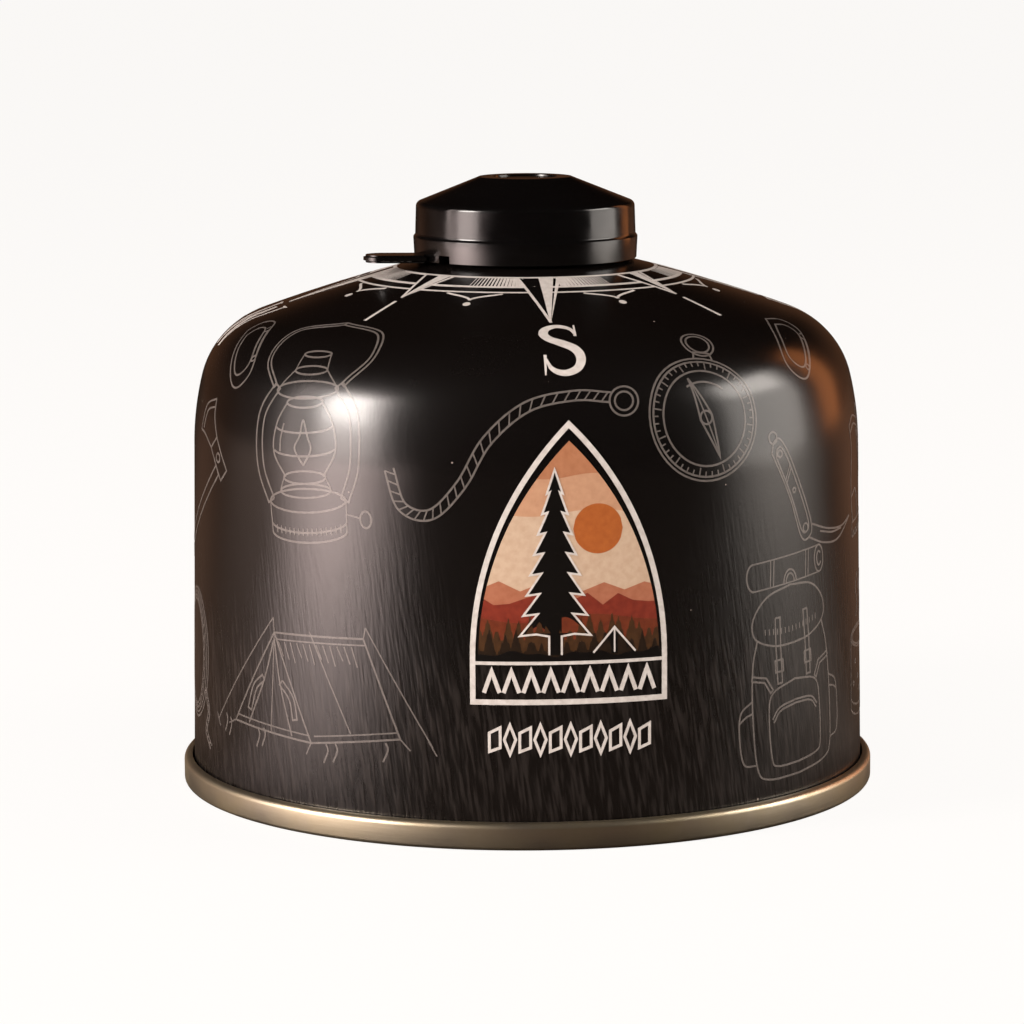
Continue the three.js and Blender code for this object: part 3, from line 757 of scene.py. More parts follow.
def axe():
    """A hatchet."""
    return [tube(curve([(-14, -10.6), (-6, -6), (4, 1.4), (11, 7)]), 0.95),
            [(8, 10.6), (12.6, 5.4), (15, 7.4), (10.6, 12.6), (8, 10.6)],
            curve([(8, 10.6), (4.4, 12.4), (1.4, 13)]), curve([(10.6, 12.6), (8.6, 16), (8.2, 19)]),
            curve([(1.4, 13), (3.4, 17.4), (8.2, 19)]), curve([(3.0, 13.4), (4.6, 16.6), (8.2, 17.6)]),
            [(-12.4, -9.8), (-11.2, -11.2)], [(-10.8, -8.8), (-9.6, -10.2)], oval(11.4, 9.2, 0.8, steps=10)]


def backpack():
    """A walker's pack with lid, pockets, straps and a rolled mat."""
    lines = mirrored([
        curve([(0, 0), (8, 0.6), (10.6, 3), (11, 12), (10.4, 20), (9, 24.6)]),
        curve([(0, 2), (5.6, 2.4), (7, 4), (7.2, 11), (6, 15), (0, 16.4)]),
        curve([(0, 22.6), (5, 23), (9.4, 25), (9.6, 28.4), (6, 31.6), (0, 32.6)]),
        curve([(10.9, 3.6), (13.6, 4.4), (14.2, 9), (13.6, 13), (11, 14.6)]),
        curve([(11, 12.6), (12.6, 12.2), (14, 11.4)]), tube([(3.8, 27.6), (4.0, 22.6), (4.0, 16.4)], 0.6),
        tube([(10.7, 18.4), (7.6, 17.6), (6.2, 15.4)], 0.4),
        [(3.0, 20.4), (5.0, 20.4), (5.0, 18.4), (3.0, 18.4), (3.0, 20.4)],
        curve([(0, 12.8), (4.4, 12.3), (6.4, 10.6)]), curve([(0, 12.2), (4.2, 11.7), (6.1, 10.0)])])
    lines += [[(-9, 33), (9, 33)], [(-9, 37.6), (9, 37.6)], oval(9, 35.3, 1.5, 2.3),
              oval(9, 35.3, 0.7, 1.2, 40, 330), oval(-9, 35.3, 1.5, 2.3, 90, 270),
              oval(0, 33, 1.7, 2.2, 0, 180), oval(0, 33, 1.1, 1.5, 0, 180)]
    lines += [[(x, 33), (x + 0.5, 37.6)] for x in (-5.2, -4.4, 4.4, 5.2)]
    return lines + [[(x, 24.6 + 0.05 * x * x / 4), (x, 25.6 + 0.05 * x * x / 4)]
                    for x in np.linspace(-7, 7, 15)]


def boot():
    """A laced walking boot on a lugged sole."""
    lines = [curve([(-11.4, 2.8), (-12, 8), (-10.8, 15), (-11.2, 19.6)]),
             curve([(-11.2, 19.6), (-8, 20.6), (-4, 19.4)]), curve([(-11.1, 18.2), (-8, 19.2), (-4.2, 18)]),
             curve([(-4, 19.4), (-3, 21.6), (-1.6, 20.2), (-1.8, 17)]),
             curve([(-4, 19.4), (-2.8, 16.4), (0.4, 12.4), (5, 8.8), (10, 7.6), (13.4, 5.4), (13.8, 3.2)]),
             curve([(8.6, 7.9), (8.2, 5.4), (9.2, 3.2)]), curve([(-11.9, 7.4), (-8, 7.8), (-6.6, 3)]),
             curve([(-5.6, 18), (-4.4, 14.6), (-1, 10.6), (3.6, 6.8), (4.4, 4)]),
             [(-12, 2.9), (-3, 2.6), (2, 2.2), (8, 2.4), (14, 3.2)], [(-12, 2.9), (-12.2, 0.4)],
             [(14, 3.2), (13.4, 1.4)]]
    sole = [(-12.2, 0.4)]
    for k in range(13):
        x = -12.2 + 2 * k
        sole += [(x + 1.2, 0.4 + 0.004 * k * k), (x + 1.3, 1.1 + 0.004 * k * k),
                 (x + 1.9, 1.1 + 0.004 * k * k), (x + 2, 0.4 + 0.005 * k * k)]
    lines.append(sole)
    for k in range(6):
        x, y = -4.6 + 1.35 * k, 16.8 - 1.75 * k
        lines += [oval(x, y, 0.4, steps=8), [(x + 0.4, y + 0.1), (x + 2.2, y + 0.6)],
                  [(x + 0.3, y + 0.4), (x + 1.6, y + 2.2)]]
    return lines


def pocket_compass():
    """A sighting compass with its bezel, needle and bow."""
    lines = [oval(0, 0, r, None, steps=48) for r in (9.4, 8.8, 7.2, 1.0)]
    for k in range(48):
        a, inner = 2 * math.pi * k / 48, 8.0 if k % 4 else 7.5
        lines.append([(inner * math.sin(a), inner * math.cos(a)), (8.8 * math.sin(a), 8.8 * math.cos(a))])
    needle = np.array([(0, 6.4), (1.1, 0), (0, -6.4), (-1.1, 0), (0, 6.4)])
    turn = np.array([(0.87, 0.5), (-0.5, 0.87)])
    lines += [needle @ turn, np.array([(0, 6.4), (0, -6.4)]) @ turn, oval(0, 12.6, 2.6), oval(0, 12.6, 1.9),
              [(-1.6, 9.3), (-1.3, 10.6), (1.3, 10.6), (1.6, 9.3)], oval(0, 0, 5.4, None, 60, 130, 10)]
    return lines


def pocket_knife():
    """A folding knife, half open."""
    body = curve([(-11, -2), (-12.6, 0), (-11, 2), (0, 2.6), (9, 2.2), (10.8, 0), (9, -2.2), (0, -1.6),
                  (-11, -2)], 8)
    return [body, body * (0.86, 0.66), curve([(9, 2.2), (14, 7.6), (18, 14), (19.4, 19.6)]),
            curve([(10.8, 0), (15.4, 4.6), (19, 11), (19.4, 19.6)]),
            curve([(12.4, 4.4), (15.8, 8.8), (18.2, 13.6)]), oval(8.4, 0, 0.9, steps=12),
            oval(-9.6, 0, 0.7, steps=12), oval(-0.6, 0.3, 0.5, steps=8), oval(-13.4, 0, 1.2, steps=14),
            [(12.6, 6.0), (14.6, 8.2)], [(-6, 1.6), (-4, -1.0)], [(-5.2, 1.6), (-3.2, -1.0)]]


def rope(points, half=0.9, step=3):
    """A rope with its lay, along a curve."""
    path = curve(points, 12)
    along = np.gradient(path, axis=0)
    side = np.stack([-along[:, 1], along[:, 0]], -1) / np.linalg.norm(along, axis=1)[:, None] * half
    lay = [[path[i] - side[i], path[i + 2] + side[i + 2]] for i in range(0, len(path) - 3, step)]
    return [path + side, path - side] + lay


def snap_hook():
    """A climber's gated hook."""
    body = curve([(-3.4, 8), (-4.4, 2), (-4, -6), (-2, -8.8), (1.6, -8.6), (3.4, -5.6),
                  (4.2, 3), (3.6, 7.6), (0.4, 9.6), (-3.4, 8)])
    return [body, body * 0.7, tube([(3.0, -4.2), (3.5, 3.6)], 0.55), oval(2.9, -4.8, 0.6, steps=12),
            [(3.2, 4.8), (3.8, 5.4)]]


def rope_coil():
    """A coiled rope, bound at its middle."""
    lines = []
    for k in range(4):
        lines += [oval(0.3 * k, 0, 7 + 0.9 * k, 10.4 + 0.8 * k, 0, 360, 40)]
    lines += [tube([(-10.6 + 0.5 * k, 0.8 * k - 1.6), (-5.6 + 0.3 * k, 0.8 * k - 1.2)], 0.4)
              for k in range(5)]
    return lines + rope([(8.4, -6), (11, -10), (9.4, -14), (12.4, -17)], 0.5, 4) + [
        [(7.0 * math.cos(a), 10.4 * math.sin(a)), (8.0 * math.cos(a + 0.12), 11.3 * math.sin(a + 0.12))]
        for a in np.linspace(-2.4, 2.4, 26)]


line_ink = ink("grey_line_ink", "#625b57", "#504945")
DRAWINGS = (
    (lantern(), -38, 44, 5, 1.05), (tent(), -44, 14, -3, 0.86), (pocket_compass(), 31, 63, -12, 1.0),
    (pocket_knife(), 50, 50, -62, 0.75), (backpack(), 51, 7, 4, 0.9), (axe(), -75, 46, 0, 0.9),
    (rope_coil(), -78, 22, 0, 0.8), (boot(), 86, 41, 6, 0.92), (mug(), 79, 12, -4, 1.0),
    (snap_hook(), -63, 72, 40, 0.8), (snap_hook(), 60, 73, -40, 0.8), (peaks(), -116, 46, 0, 0.86),
    (kettle(), -112, 20, 0, 0.86), (wood(), -150, 10, 0, 0.95), (pocket_compass(), -152, 56, 10, 1.0),
    (tent(), 170, 44, 2, 0.82), (boot(), 172, 12, 0, 1.0), (lantern(), 140, 18, -3, 1.0),
    (snap_hook(), 146, 70, 30, 0.8), (kettle(), 112, 52, 0, 0.9), (wood(), 112, 6, 0, 0.8),
    (mug(), 163, 68, 0, 0.7), (pocket_knife(), -120, 74, -40, 0.7),
)
ROPE_PATH = ((-27, 56), (-25, 50.6), (-20.5, 49.6), (-16, 54), (-12, 60.6), (-6, 65.6), (1, 67.2),
             (6.4, 66.8))
rope_lines = rope(ROPE_PATH, 0.75) + moved([oval(0, 0, 2.2), oval(0, 0, 1.4)], 8.4, 66.2)
drawn_lines = []
for lines, bearing, run, turn, scale in DRAWINGS + ((rope_lines, FRONT, 0, 0, 1.0),):
    for line in lines:
        width = LINE_WIDTH if len(line) > 2 else FINE_WIDTH
        drawn_lines.append(placed(stroke(line, width / scale), bearing, run, turn, scale))
inked("camping_drawings", drawn_lines, line_ink)

# The emblem
# A pointed badge in flat inks, with a sunset over hills and a wood behind one tall fir and a tent.
# Its colours were printed one over the other, so each lies a hair above the last.
BADGE_HALF = 14.4
BADGE_FOOT = 22.0
BADGE_SPRING = 28.4
BADGE_APEX = 63.0
BADGE_LINE = 0.8
BADGE_INSET = 0.85
BAND_TOP = 27.8
SUN = (4.2, 47.6, 3.7)
TALL_FIR = (-2.2, 29.0, 56.0, 5.0)
ZIGZAG_ROW = (11.6, 9)        # half the row's width, and how many peaks
ZIGZAG = (1.15, 23.4, 26.6)
SHAPE_ROW = (11.2, 11)
DIAMOND = (0.85, 14.2, 16.4, 18.6)
random.seed(7)


def pointed_arch(half, spring, apex, steps=26):
    """The curved sides of a pointed arch, from its right spring over the point to its left spring."""
    high = apex - spring
    back = (high ** 2 - half ** 2) / (2 * half)
    right = oval(-back, spring, half + back, None, 0, math.degrees(math.atan2(high, back)), steps)
    return np.vstack([right, right[::-1][1:] * (-1, 1)])


inner_half = BADGE_HALF - BADGE_INSET
inner_arch = pointed_arch(inner_half, BADGE_SPRING, BADGE_APEX - 2.4)
fine_x = np.linspace(-inner_half + 0.01, inner_half - 0.01, 241)
badge_roof = np.interp(fine_x, inner_arch[::-1, 0], inner_arch[::-1, 1])


def hills(level, *waves):
    return level + sum(high * np.sin((fine_x + shift) / long) for high, long, shift in waves)


def crags(level, step, high):
    """A skyline of crags with straight flanks."""
    xs = np.arange(-inner_half - step, inner_half + 2 * step, step)
    return np.interp(fine_x, xs, [level + random.uniform(-high, high) for _ in xs])


def fir_line(level, step, low, high):
    """A skyline of firs, each a spike of its own height."""
    line = np.full_like(fine_x, level)
    for x in np.arange(-inner_half, inner_half, step):
        tall = random.uniform(low, high)
        away = np.abs(fine_x - x - random.uniform(-0.3, 0.3))
        spike = tall * (1 - away / random.uniform(0.8, 1.3))
        line = np.maximum(line, level + spike + 0.25 * np.sin(spike * 5))
    return line


def badge_field(low, high):
    """A patch between two heights, kept under the arch and left out where nothing of it shows."""
    top = np.minimum(high, badge_roof - 0.02)
    shown = np.flatnonzero(top > low + 0.02)
    part = slice(shown[0], shown[-1] + 1)
    return field(fine_x[part], np.broadcast_to(low, fine_x.shape)[part],
                 np.maximum(top, low + 0.01)[part], 2.0)


def badge_ink(name, colour, shade, grids, layer):
    return inked(name, [placed(grid, FRONT, 0) for grid in grids], ink(name + "_ink", colour, shade), layer)


def fir_shape(x, foot, top, half, grow=0.0):
    """A fir's right edge, from its top down to its foot, in steps of boughs."""
    edge = [(x, top + grow * 2)]
    for k in range(1, 9):
        y = top - (top - foot - 3) * k / 8
        edge += [(x + half * (k / 8) ** 0.8 + grow, y - grow * 0.6),
                 (x + half * 0.52 * (k / 8) ** 0.8 + grow, y + 0.25 - grow * 0.6)]
    return np.array(edge + [(x + 0.7 + grow, foot + 3 - grow), (x + 0.7 + grow, foot)])


def spread(right, mid_x):
    """A filled shape that is the same both sides of an upright line, from its right edge."""
    left = right * (-1, 1) + (2 * mid_x, 0)
    return np.stack([left, (left + right) / 2, right], 1)


sun_x = np.linspace(-SUN[2], SUN[2], 25)
sun_edge = np.sqrt(np.maximum(SUN[2] ** 2 - sun_x ** 2, 0.0004))
floor_line = BAND_TOP + 0.3
far_crags, near_crags = crags(39.6, 3.1, 1.3), crags(37.2, 2.3, 1.0)
badge_ink("emblem_haze", "#bfa48c", "#b4977e", [badge_field(36.0, hills(50.0, (0.5, 3.0, 1.0)))], 1)
badge_ink("emblem_sky", "#b98c6d", "#ae8062", [badge_field(hills(50.0, (0.5, 3.0, 1.0)), badge_roof)], 1)
badge_ink("emblem_high_sky", "#a8704f", "#9c6444",
          [badge_field(hills(55.4, (0.4, 2.2, 0.0)), badge_roof)], 2)
badge_ink("emblem_sun", "#a65820", "#994d18",
          [field(sun_x + SUN[0], SUN[1] - sun_edge, SUN[1] + sun_edge)], 2)
badge_ink("emblem_far_hills", "#a3654a", "#97583d", [badge_field(34.5, far_crags)], 3)
badge_ink("emblem_near_hills", "#7c2a18", "#6a2011", [badge_field(32.0, near_crags)], 4)
badge_ink("emblem_slope", "#6c2c12", "#5c230d", [badge_field(29.5, hills(34.4, (0.6, 3.3, 2.0)))], 5)
badge_ink("emblem_far_firs", "#452a12", "#38210e",
          [badge_field(floor_line, fir_line(30.6, 1.5, 2.0, 5.0))], 6)
badge_ink("emblem_near_firs", "#26180c", "#1e130a",
          [badge_field(floor_line, fir_line(29.0, 1.9, 1.2, 4.4))], 7)
black_ink_shapes = [badge_field(floor_line, hills(29.2, (0.3, 1.7, 0.0), (0.2, 0.7, 1.0))),
                    spread(fir_shape(*TALL_FIR), TALL_FIR[0]),
                    field([3.6, 6.6, 9.6], [29.0, 29.0, 29.0], [29.2, 32.6, 29.2])]
badge_ink("emblem_foreground", "#0c0908", "#0a0807", black_ink_shapes, 8)
side = np.linspace(BADGE_FOOT, BADGE_SPRING, 5)[:-1]
badge_edge = [(BADGE_HALF, y) for y in side] + list(pointed_arch(BADGE_HALF, BADGE_SPRING, BADGE_APEX))
badge_edge += [(-BADGE_HALF, y) for y in side[::-1]]
badge_edge += [(x, BADGE_FOOT) for x in np.linspace(-BADGE_HALF, BADGE_HALF, 24)[1:-1]]
fir_edge = fir_shape(*TALL_FIR, grow=0.22)
white_lines = [stroke(badge_edge, BADGE_LINE, closed=True),
               stroke([(-BADGE_HALF, BAND_TOP), (BADGE_HALF, BAND_TOP)], 0.5),
               stroke(np.vstack([fir_edge[::-1] * (-1, 1) + (2 * TALL_FIR[0], 0), fir_edge[1:]]), 0.3),
               stroke([(3.4, 29.2), (6.6, 32.9), (9.8, 29.2)], 0.3),
               stroke([(6.6, 32.7), (6.6, 29.2)], 0.25)]
half, foot, top = ZIGZAG
for x in np.linspace(-ZIGZAG_ROW[0], *ZIGZAG_ROW):
    white_lines.append(stroke([(x - half, foot), (x, top), (x + half, foot)], 0.62))
half, foot, middle, top = DIAMOND
for k, x in enumerate(np.linspace(-SHAPE_ROW[0], *SHAPE_ROW)):
    shape = [(x - 0.8, 14.6), (x - 0.8, 17.4), (x + 0.8, 18.2), (x + 0.8, 15.2)]
    if k % 2:
        shape = [(x, foot), (x + half, middle), (x, top), (x - half, middle)]
    white_lines.append(stroke(shape, 0.42, closed=True))
inked("emblem_outline", [placed(grid, FRONT, 0) for grid in white_lines], white_ink, 9)

# The valve
# A tinplate cup is crimped over the bead with a rubber ring under it, and its collar carries the thread.
# In the collar sit a rubber disc, the hollow stem, its spring and the moulded housing.
CUP_SHEET = 0.4
CUP_GASKET = 0.35
VALVE_GAP = 0.15
CURL_EDGE_ANGLE = -25
CUP_CORNER_ROUND = 1.4
COLLAR_RADIUS = 5.55
COLLAR_ROOT_ROUND = 1.1
COLLAR_TOP_ROUND = 0.5
MOUTH_RADIUS = 3.2
THREAD_PITCH = 25.4 / 28
THREAD_FOOT = 84.2
THREAD_TOP = 92.4
THREAD_DEPTH = 0.37
SEAL_BORE_RADIUS = 1.75
STEM_RADIUS = 1.4
STEM_NECK_RADIUS = 1.6
STEM_BORE_RADIUS = 0.7
STEM_BORE_DEPTH = 4
FLANGE_RADIUS = 3.2
FLANGE_THICKNESS = 1.8
WIRE_RADIUS = 0.3
SPRING_RADIUS = 2.4
SPRING_TURNS = 6

curl_radius = BEAD_ROUND + CUP_GASKET + 2 * VALVE_GAP
collar_inside = COLLAR_RADIUS - CUP_SHEET
collar_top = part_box("valve_cup")[1][2] / MM
gasket_box = [[v / MM for v in corner_point] for corner_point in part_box("stem_gasket")]
stem_box = [[v / MM for v in corner_point] for corner_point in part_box("valve_stem")]


def cup_sheet(offset):
    """The cup's sheet in section, from the curl's edge to the collar's mouth, above its lower face."""
    wall_r = bead_r - curl_radius
    root_r = collar_inside + COLLAR_ROOT_ROUND
    rim_r = collar_inside - COLLAR_TOP_ROUND
    rim_z = collar_top - CUP_SHEET - COLLAR_TOP_ROUND
    collar = [(collar_inside + offset, z) for z in np.linspace(floor_z + 1.6, rim_z - 0.2,
        90)] if offset else []
    return (arc(bead_r, bead_z, curl_radius + offset, CURL_EDGE_ANGLE, 180, 24)
            + arc(wall_r - CUP_CORNER_ROUND, floor_z + CUP_CORNER_ROUND, CUP_CORNER_ROUND - offset,
                  360, 270, 8)
            + arc(root_r, floor_z + COLLAR_ROOT_ROUND, COLLAR_ROOT_ROUND - offset, 270, 180, 8) + collar
            + arc(rim_r, rim_z, COLLAR_TOP_ROUND + offset, 0, 90, 6)
            + [(MOUTH_RADIUS, collar_top - CUP_SHEET + offset)])


def rolled_thread(r, z, angle):
    """How far the thread's valley is rolled in at a place on the collar."""
    if abs(r - COLLAR_RADIUS) > 0.02 or not THREAD_FOOT < z < THREAD_TOP:
        return 0.0
    fade = min(1, (z - THREAD_FOOT) / 0.5, (THREAD_TOP - z) / 0.5)
    turn = (z / THREAD_PITCH - angle / (2 * math.pi)) % 1
    return -fade * THREAD_DEPTH * min(1, 1.6 * abs(2 * turn - 1))


valve_cup = turned("valve_cup_dressed", cup_sheet(0) + cup_sheet(CUP_SHEET)[::-1], 160, tinplate,
                   rolled_thread)
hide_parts("valve_cup")
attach(valve_cup, "can")


def moulded(name, colour, rough, grain_mm, depth_mm, gloss_wear=0.0):
    """Moulded rubber or plastic, with the fine texture of its tool and slight changes of gloss."""
    material, tree = new_material(name)
    place = add_node(tree, "ShaderNodeTexCoord").outputs["Object"]
    grain = add_node(tree, "ShaderNodeTexNoise", {
        "Vector": place, "Scale": 1 / (grain_mm * MM), "Detail": 3.0})
    flow = add_node(tree, "ShaderNodeTexNoise", {"Vector": place, "Scale": 1 / (7 * MM)})
    bump = add_node(tree, "ShaderNodeBump", {
        "Height": grain.outputs["Fac"], "Strength": 1.0, "Distance": depth_mm * MM})
    wear = add_node(tree, "ShaderNodeMapRange", {
        "Value": flow.outputs["Fac"], "From Min": 0.35, "From Max": 0.7,
        "To Min": rough, "To Max": rough + 0.08 + gloss_wear})
    shader = add_node(tree, "ShaderNodeBsdfPrincipled", {
        "Base Color": linear(colour), "Normal": bump, "Roughness": wear})
    add_node(tree, "ShaderNodeOutputMaterial", {"Surface": shader})
    return material


rubber = moulded("nitrile_rubber", "#1b1b1c", 0.62, 0.3, 0.01)
acetal = moulded("white_acetal", "#e1ded6", 0.38, 0.6, 0.003)
stem_disc = turned("stem_disc", [
    (SEAL_BORE_RADIUS, gasket_box[0][2]), (gasket_box[1][0], gasket_box[0][2]),
    (gasket_box[1][0], gasket_box[1][2]),
    (SEAL_BORE_RADIUS, gasket_box[1][2])], 72, rubber)
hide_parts("stem_gasket")
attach(stem_disc, "can")
for kept_node, kept_material in (("cup_gasket", rubber), ("valve_housing", acetal)):
    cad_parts[kept_node].material_slots[0].link = "OBJECT"
    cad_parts[kept_node].material_slots[0].material = kept_material
stem_top = stem_box[1][2]
stem_foot = stem_box[0][2]
flange_top = gasket_box[0][2] - VALVE_GAP
flange_foot = flange_top - FLANGE_THICKNESS
stem = turned("hollow_stem", [
    (0, stem_foot), (STEM_RADIUS - 0.15, stem_foot), (STEM_RADIUS, stem_foot + 0.2),
    (STEM_RADIUS, flange_foot),
    (FLANGE_RADIUS, flange_foot), (FLANGE_RADIUS, flange_top), (STEM_NECK_RADIUS, flange_top),
    (STEM_NECK_RADIUS, stem_top - 0.2), (STEM_NECK_RADIUS - 0.2, stem_top),
    (STEM_BORE_RADIUS + 0.05, stem_top),
    (STEM_BORE_RADIUS, stem_top - 0.1), (STEM_BORE_RADIUS, stem_top - STEM_BORE_DEPTH),
    (0, stem_top - STEM_BORE_DEPTH)], 72, acetal)
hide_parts("valve_stem")
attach(stem, "stem")


def spring_wire():
    """Stainless spring wire, drawn bright."""
    material, tree = new_material("stainless_spring_wire")
    place = add_node(tree, "ShaderNodeTexCoord").outputs["Object"]
    die_marks = add_node(tree, "ShaderNodeTexNoise", {"Vector": place, "Scale": 1 / (0.15 * MM)})
    bump = add_node(tree, "ShaderNodeBump", {
        "Height": die_marks.outputs["Fac"], "Strength": 0.4, "Distance": 0.005 * MM})
    shader = add_node(tree, "ShaderNodeBsdfPrincipled", {
        "Base Color": linear("#c3c5c8"), "Metallic": 1.0, "Roughness": 0.26, "Normal": bump})
    add_node(tree, "ShaderNodeOutputMaterial", {"Surface": shader})
    return material


def coil_tree(material):
    """A wire of round section along a helix about Z."""
    tree, given = group("wire_coil", {
        "Turns": ("Float", SPRING_TURNS), "Radius": ("Float", SPRING_RADIUS * MM),
        "Wire": ("Float", WIRE_RADIUS * MM),
        "Foot": ("Float", 0.0), "Height": ("Float", 0.01)})
    helix = add_node(tree, "GeometryNodeCurveSpiral", {
        "Resolution": 32, "Rotations": given["Turns"], "Start Radius": given["Radius"],
        "End Radius": given["Radius"],
        "Height": given["Height"]})
    section = add_node(tree, "GeometryNodeCurvePrimitiveCircle", {
        "Resolution": 12, "Radius": given["Wire"]})
    wire = add_node(tree, "GeometryNodeCurveToMesh", {
        "Curve": helix, "Profile Curve": section, "Fill Caps": True})
    lift = add_node(tree, "ShaderNodeCombineXYZ", {"Z": given["Foot"]})
    raised = add_node(tree, "GeometryNodeTransform", {"Geometry": wire, "Translation": lift})
    real = add_node(tree, "GeometryNodeRealizeInstances", {"Geometry": raised})
    painted = add_node(tree, "GeometryNodeSetMaterial", {"Geometry": real, "Material": material})
    add_node(tree, "NodeGroupOutput", {"Geometry": painted})
    return tree


spring_low, spring_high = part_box("valve_spring")[0][2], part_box("valve_spring")[1][2]
spring = grown("return_spring", coil_tree(spring_wire()), {
    "Foot": float(spring_low) + WIRE_RADIUS * MM,
    "Height": float(spring_high - spring_low) - 2 * WIRE_RADIUS * MM})
spring.data.shade_smooth()
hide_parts("valve_spring")
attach(spring, "can")
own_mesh(spring)

# The cap
# One moulding of black polypropylene that is pushed over the cup's curl and keeps dirt off the valve.
# It has a proud band at its foot, a pull tab beside it and a shallow disc in its top.
CAP_WALL = 1.1
CAP_BAND_FOOT_RADIUS = 17.52
CAP_BAND_RADIUS = 17.68
CAP_BAND_HEIGHT = 3.65
CAP_STEP = 0.3
CAP_SIDE_DRAFT = 0.14
CAP_SHOULDER_HEIGHT = 8.2
CAP_SHOULDER_ROUND = 0.9
CAP_TOP_RADIUS = 7.3
CAP_DISC_RADIUS = 5
CAP_DISC_DEPTH = 0.25
TAB_REACH = 25.3
TAB_OFFSET = 7.2
TAB_HALF_WIDTH = 3
TAB_THICKNESS = 1.2
TAB_EDGE = 0.35
TAB_ROOT = 15.4
NOTCH_WIDTH = 2.4
NOTCH_HEIGHT = 1.3
NOTCH_ANGLE = 224
CAP_SIDES = 192

cap_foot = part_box("cap")[0][2] / MM
cap_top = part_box("cap")[1][2] / MM


def cap_outline():
    band_top = cap_foot + CAP_BAND_HEIGHT
    side_r = CAP_BAND_RADIUS - CAP_STEP
    shoulder_r = side_r - CAP_SIDE_DRAFT
    shoulder_z = cap_foot + CAP_SHOULDER_HEIGHT
    inside_r = CAP_BAND_FOOT_RADIUS - CAP_WALL
    slope = math.atan2(cap_top - shoulder_z, shoulder_r - CAP_TOP_RADIUS)
    bend = arc(shoulder_r - CAP_SHOULDER_ROUND, shoulder_z, CAP_SHOULDER_ROUND, 0,
               90 - math.degrees(slope), 10)
    side = [(side_r + (shoulder_r - side_r) * t, band_top + CAP_STEP
             + (shoulder_z - band_top - CAP_STEP) * t)
            for t in (0.05, 0.95)]
    roof_rise = (cap_top - bend[-1][1]) / (bend[-1][0] - CAP_TOP_RADIUS)
    drop = CAP_WALL / math.cos(slope)
    ceiling = cap_top - CAP_DISC_DEPTH - CAP_WALL
    ceiling_r = max(CAP_TOP_RADIUS - (cap_top - drop - ceiling) / math.tan(slope), CAP_DISC_RADIUS)
    inside_z = bend[-1][1] + (bend[-1][0] - inside_r) * roof_rise - drop
    return [
        (inside_r, cap_foot + 0.1), (inside_r + 0.1, cap_foot), (CAP_BAND_FOOT_RADIUS - 0.15, cap_foot),
        (CAP_BAND_FOOT_RADIUS, cap_foot + 0.15), (CAP_BAND_RADIUS, band_top - 0.3),
        (CAP_BAND_RADIUS - 0.02, band_top - 0.1),
        (CAP_BAND_RADIUS - 0.1, band_top), (side_r + 0.06, band_top + 0.16),
        (side_r, band_top + CAP_STEP)] + side + bend + [
        (CAP_TOP_RADIUS + 0.2, cap_top - 0.09), (CAP_TOP_RADIUS + 0.07, cap_top - 0.02),
        (CAP_TOP_RADIUS - 0.15, cap_top),
        (CAP_DISC_RADIUS + 0.08, cap_top), (CAP_DISC_RADIUS, cap_top - 0.06),
        (CAP_DISC_RADIUS - 0.04, cap_top - CAP_DISC_DEPTH),
        (0, cap_top - CAP_DISC_DEPTH), (0, ceiling), (ceiling_r, ceiling), (inside_r, inside_z)]


def tab_mesh(material):
    """The pull tab: a tongue with a round end and softened edges, rooted in the band's wall."""
    middle = TAB_REACH - TAB_HALF_WIDTH
    outline = [(-TAB_ROOT, TAB_HALF_WIDTH), (-TAB_ROOT, -TAB_HALF_WIDTH)]
    outline += list(oval(-middle, 0, TAB_HALF_WIDTH, None, 270, 90, 24))
    shaped = bmesh.new()
    face = shaped.faces.new([shaped.verts.new((x * MM, (y - TAB_OFFSET) * MM, cap_foot * MM)) for x,
                             y in outline])
    grown_part = bmesh.ops.extrude_face_region(shaped, geom=[face])["geom"]
    lifted = [g for g in grown_part if isinstance(g, bmesh.types.BMVert)]
    bmesh.ops.translate(shaped, verts=lifted, vec=(0, 0, TAB_THICKNESS * MM))
    edges = [e for e in shaped.edges if abs(e.verts[0].co.z - e.verts[1].co.z) < 1e-7]
    bmesh.ops.bevel(shaped, geom=edges, offset=TAB_EDGE * MM, segments=3, affect="EDGES",
                    clamp_overlap=True)
    bmesh.ops.recalc_face_normals(shaped, faces=shaped.faces)
    mesh = bpy.data.meshes.new("pull_tab")
    shaped.to_mesh(mesh)
    shaped.free()
    mesh.materials.append(material)
    made = bpy.data.objects.new("pull_tab", mesh)
    bpy.context.scene.collection.objects.link(made)
    return made


def carved(body, cutter, operation):
    """The body joined to or cut by another, as one closed mesh."""
    modifier = body.modifiers.new("carve", "BOOLEAN")
    modifier.object = cutter
    modifier.operation = operation
    modifier.solver = "EXACT"
    bpy.context.view_layer.update()
    result = bpy.data.meshes.new_from_object(body.evaluated_get(bpy.context.evaluated_depsgraph_get()))
    body.modifiers.clear()
    body.data = result
    bpy.data.objects.remove(cutter)
    body.data.set_sharp_from_angle(angle=math.radians(32))


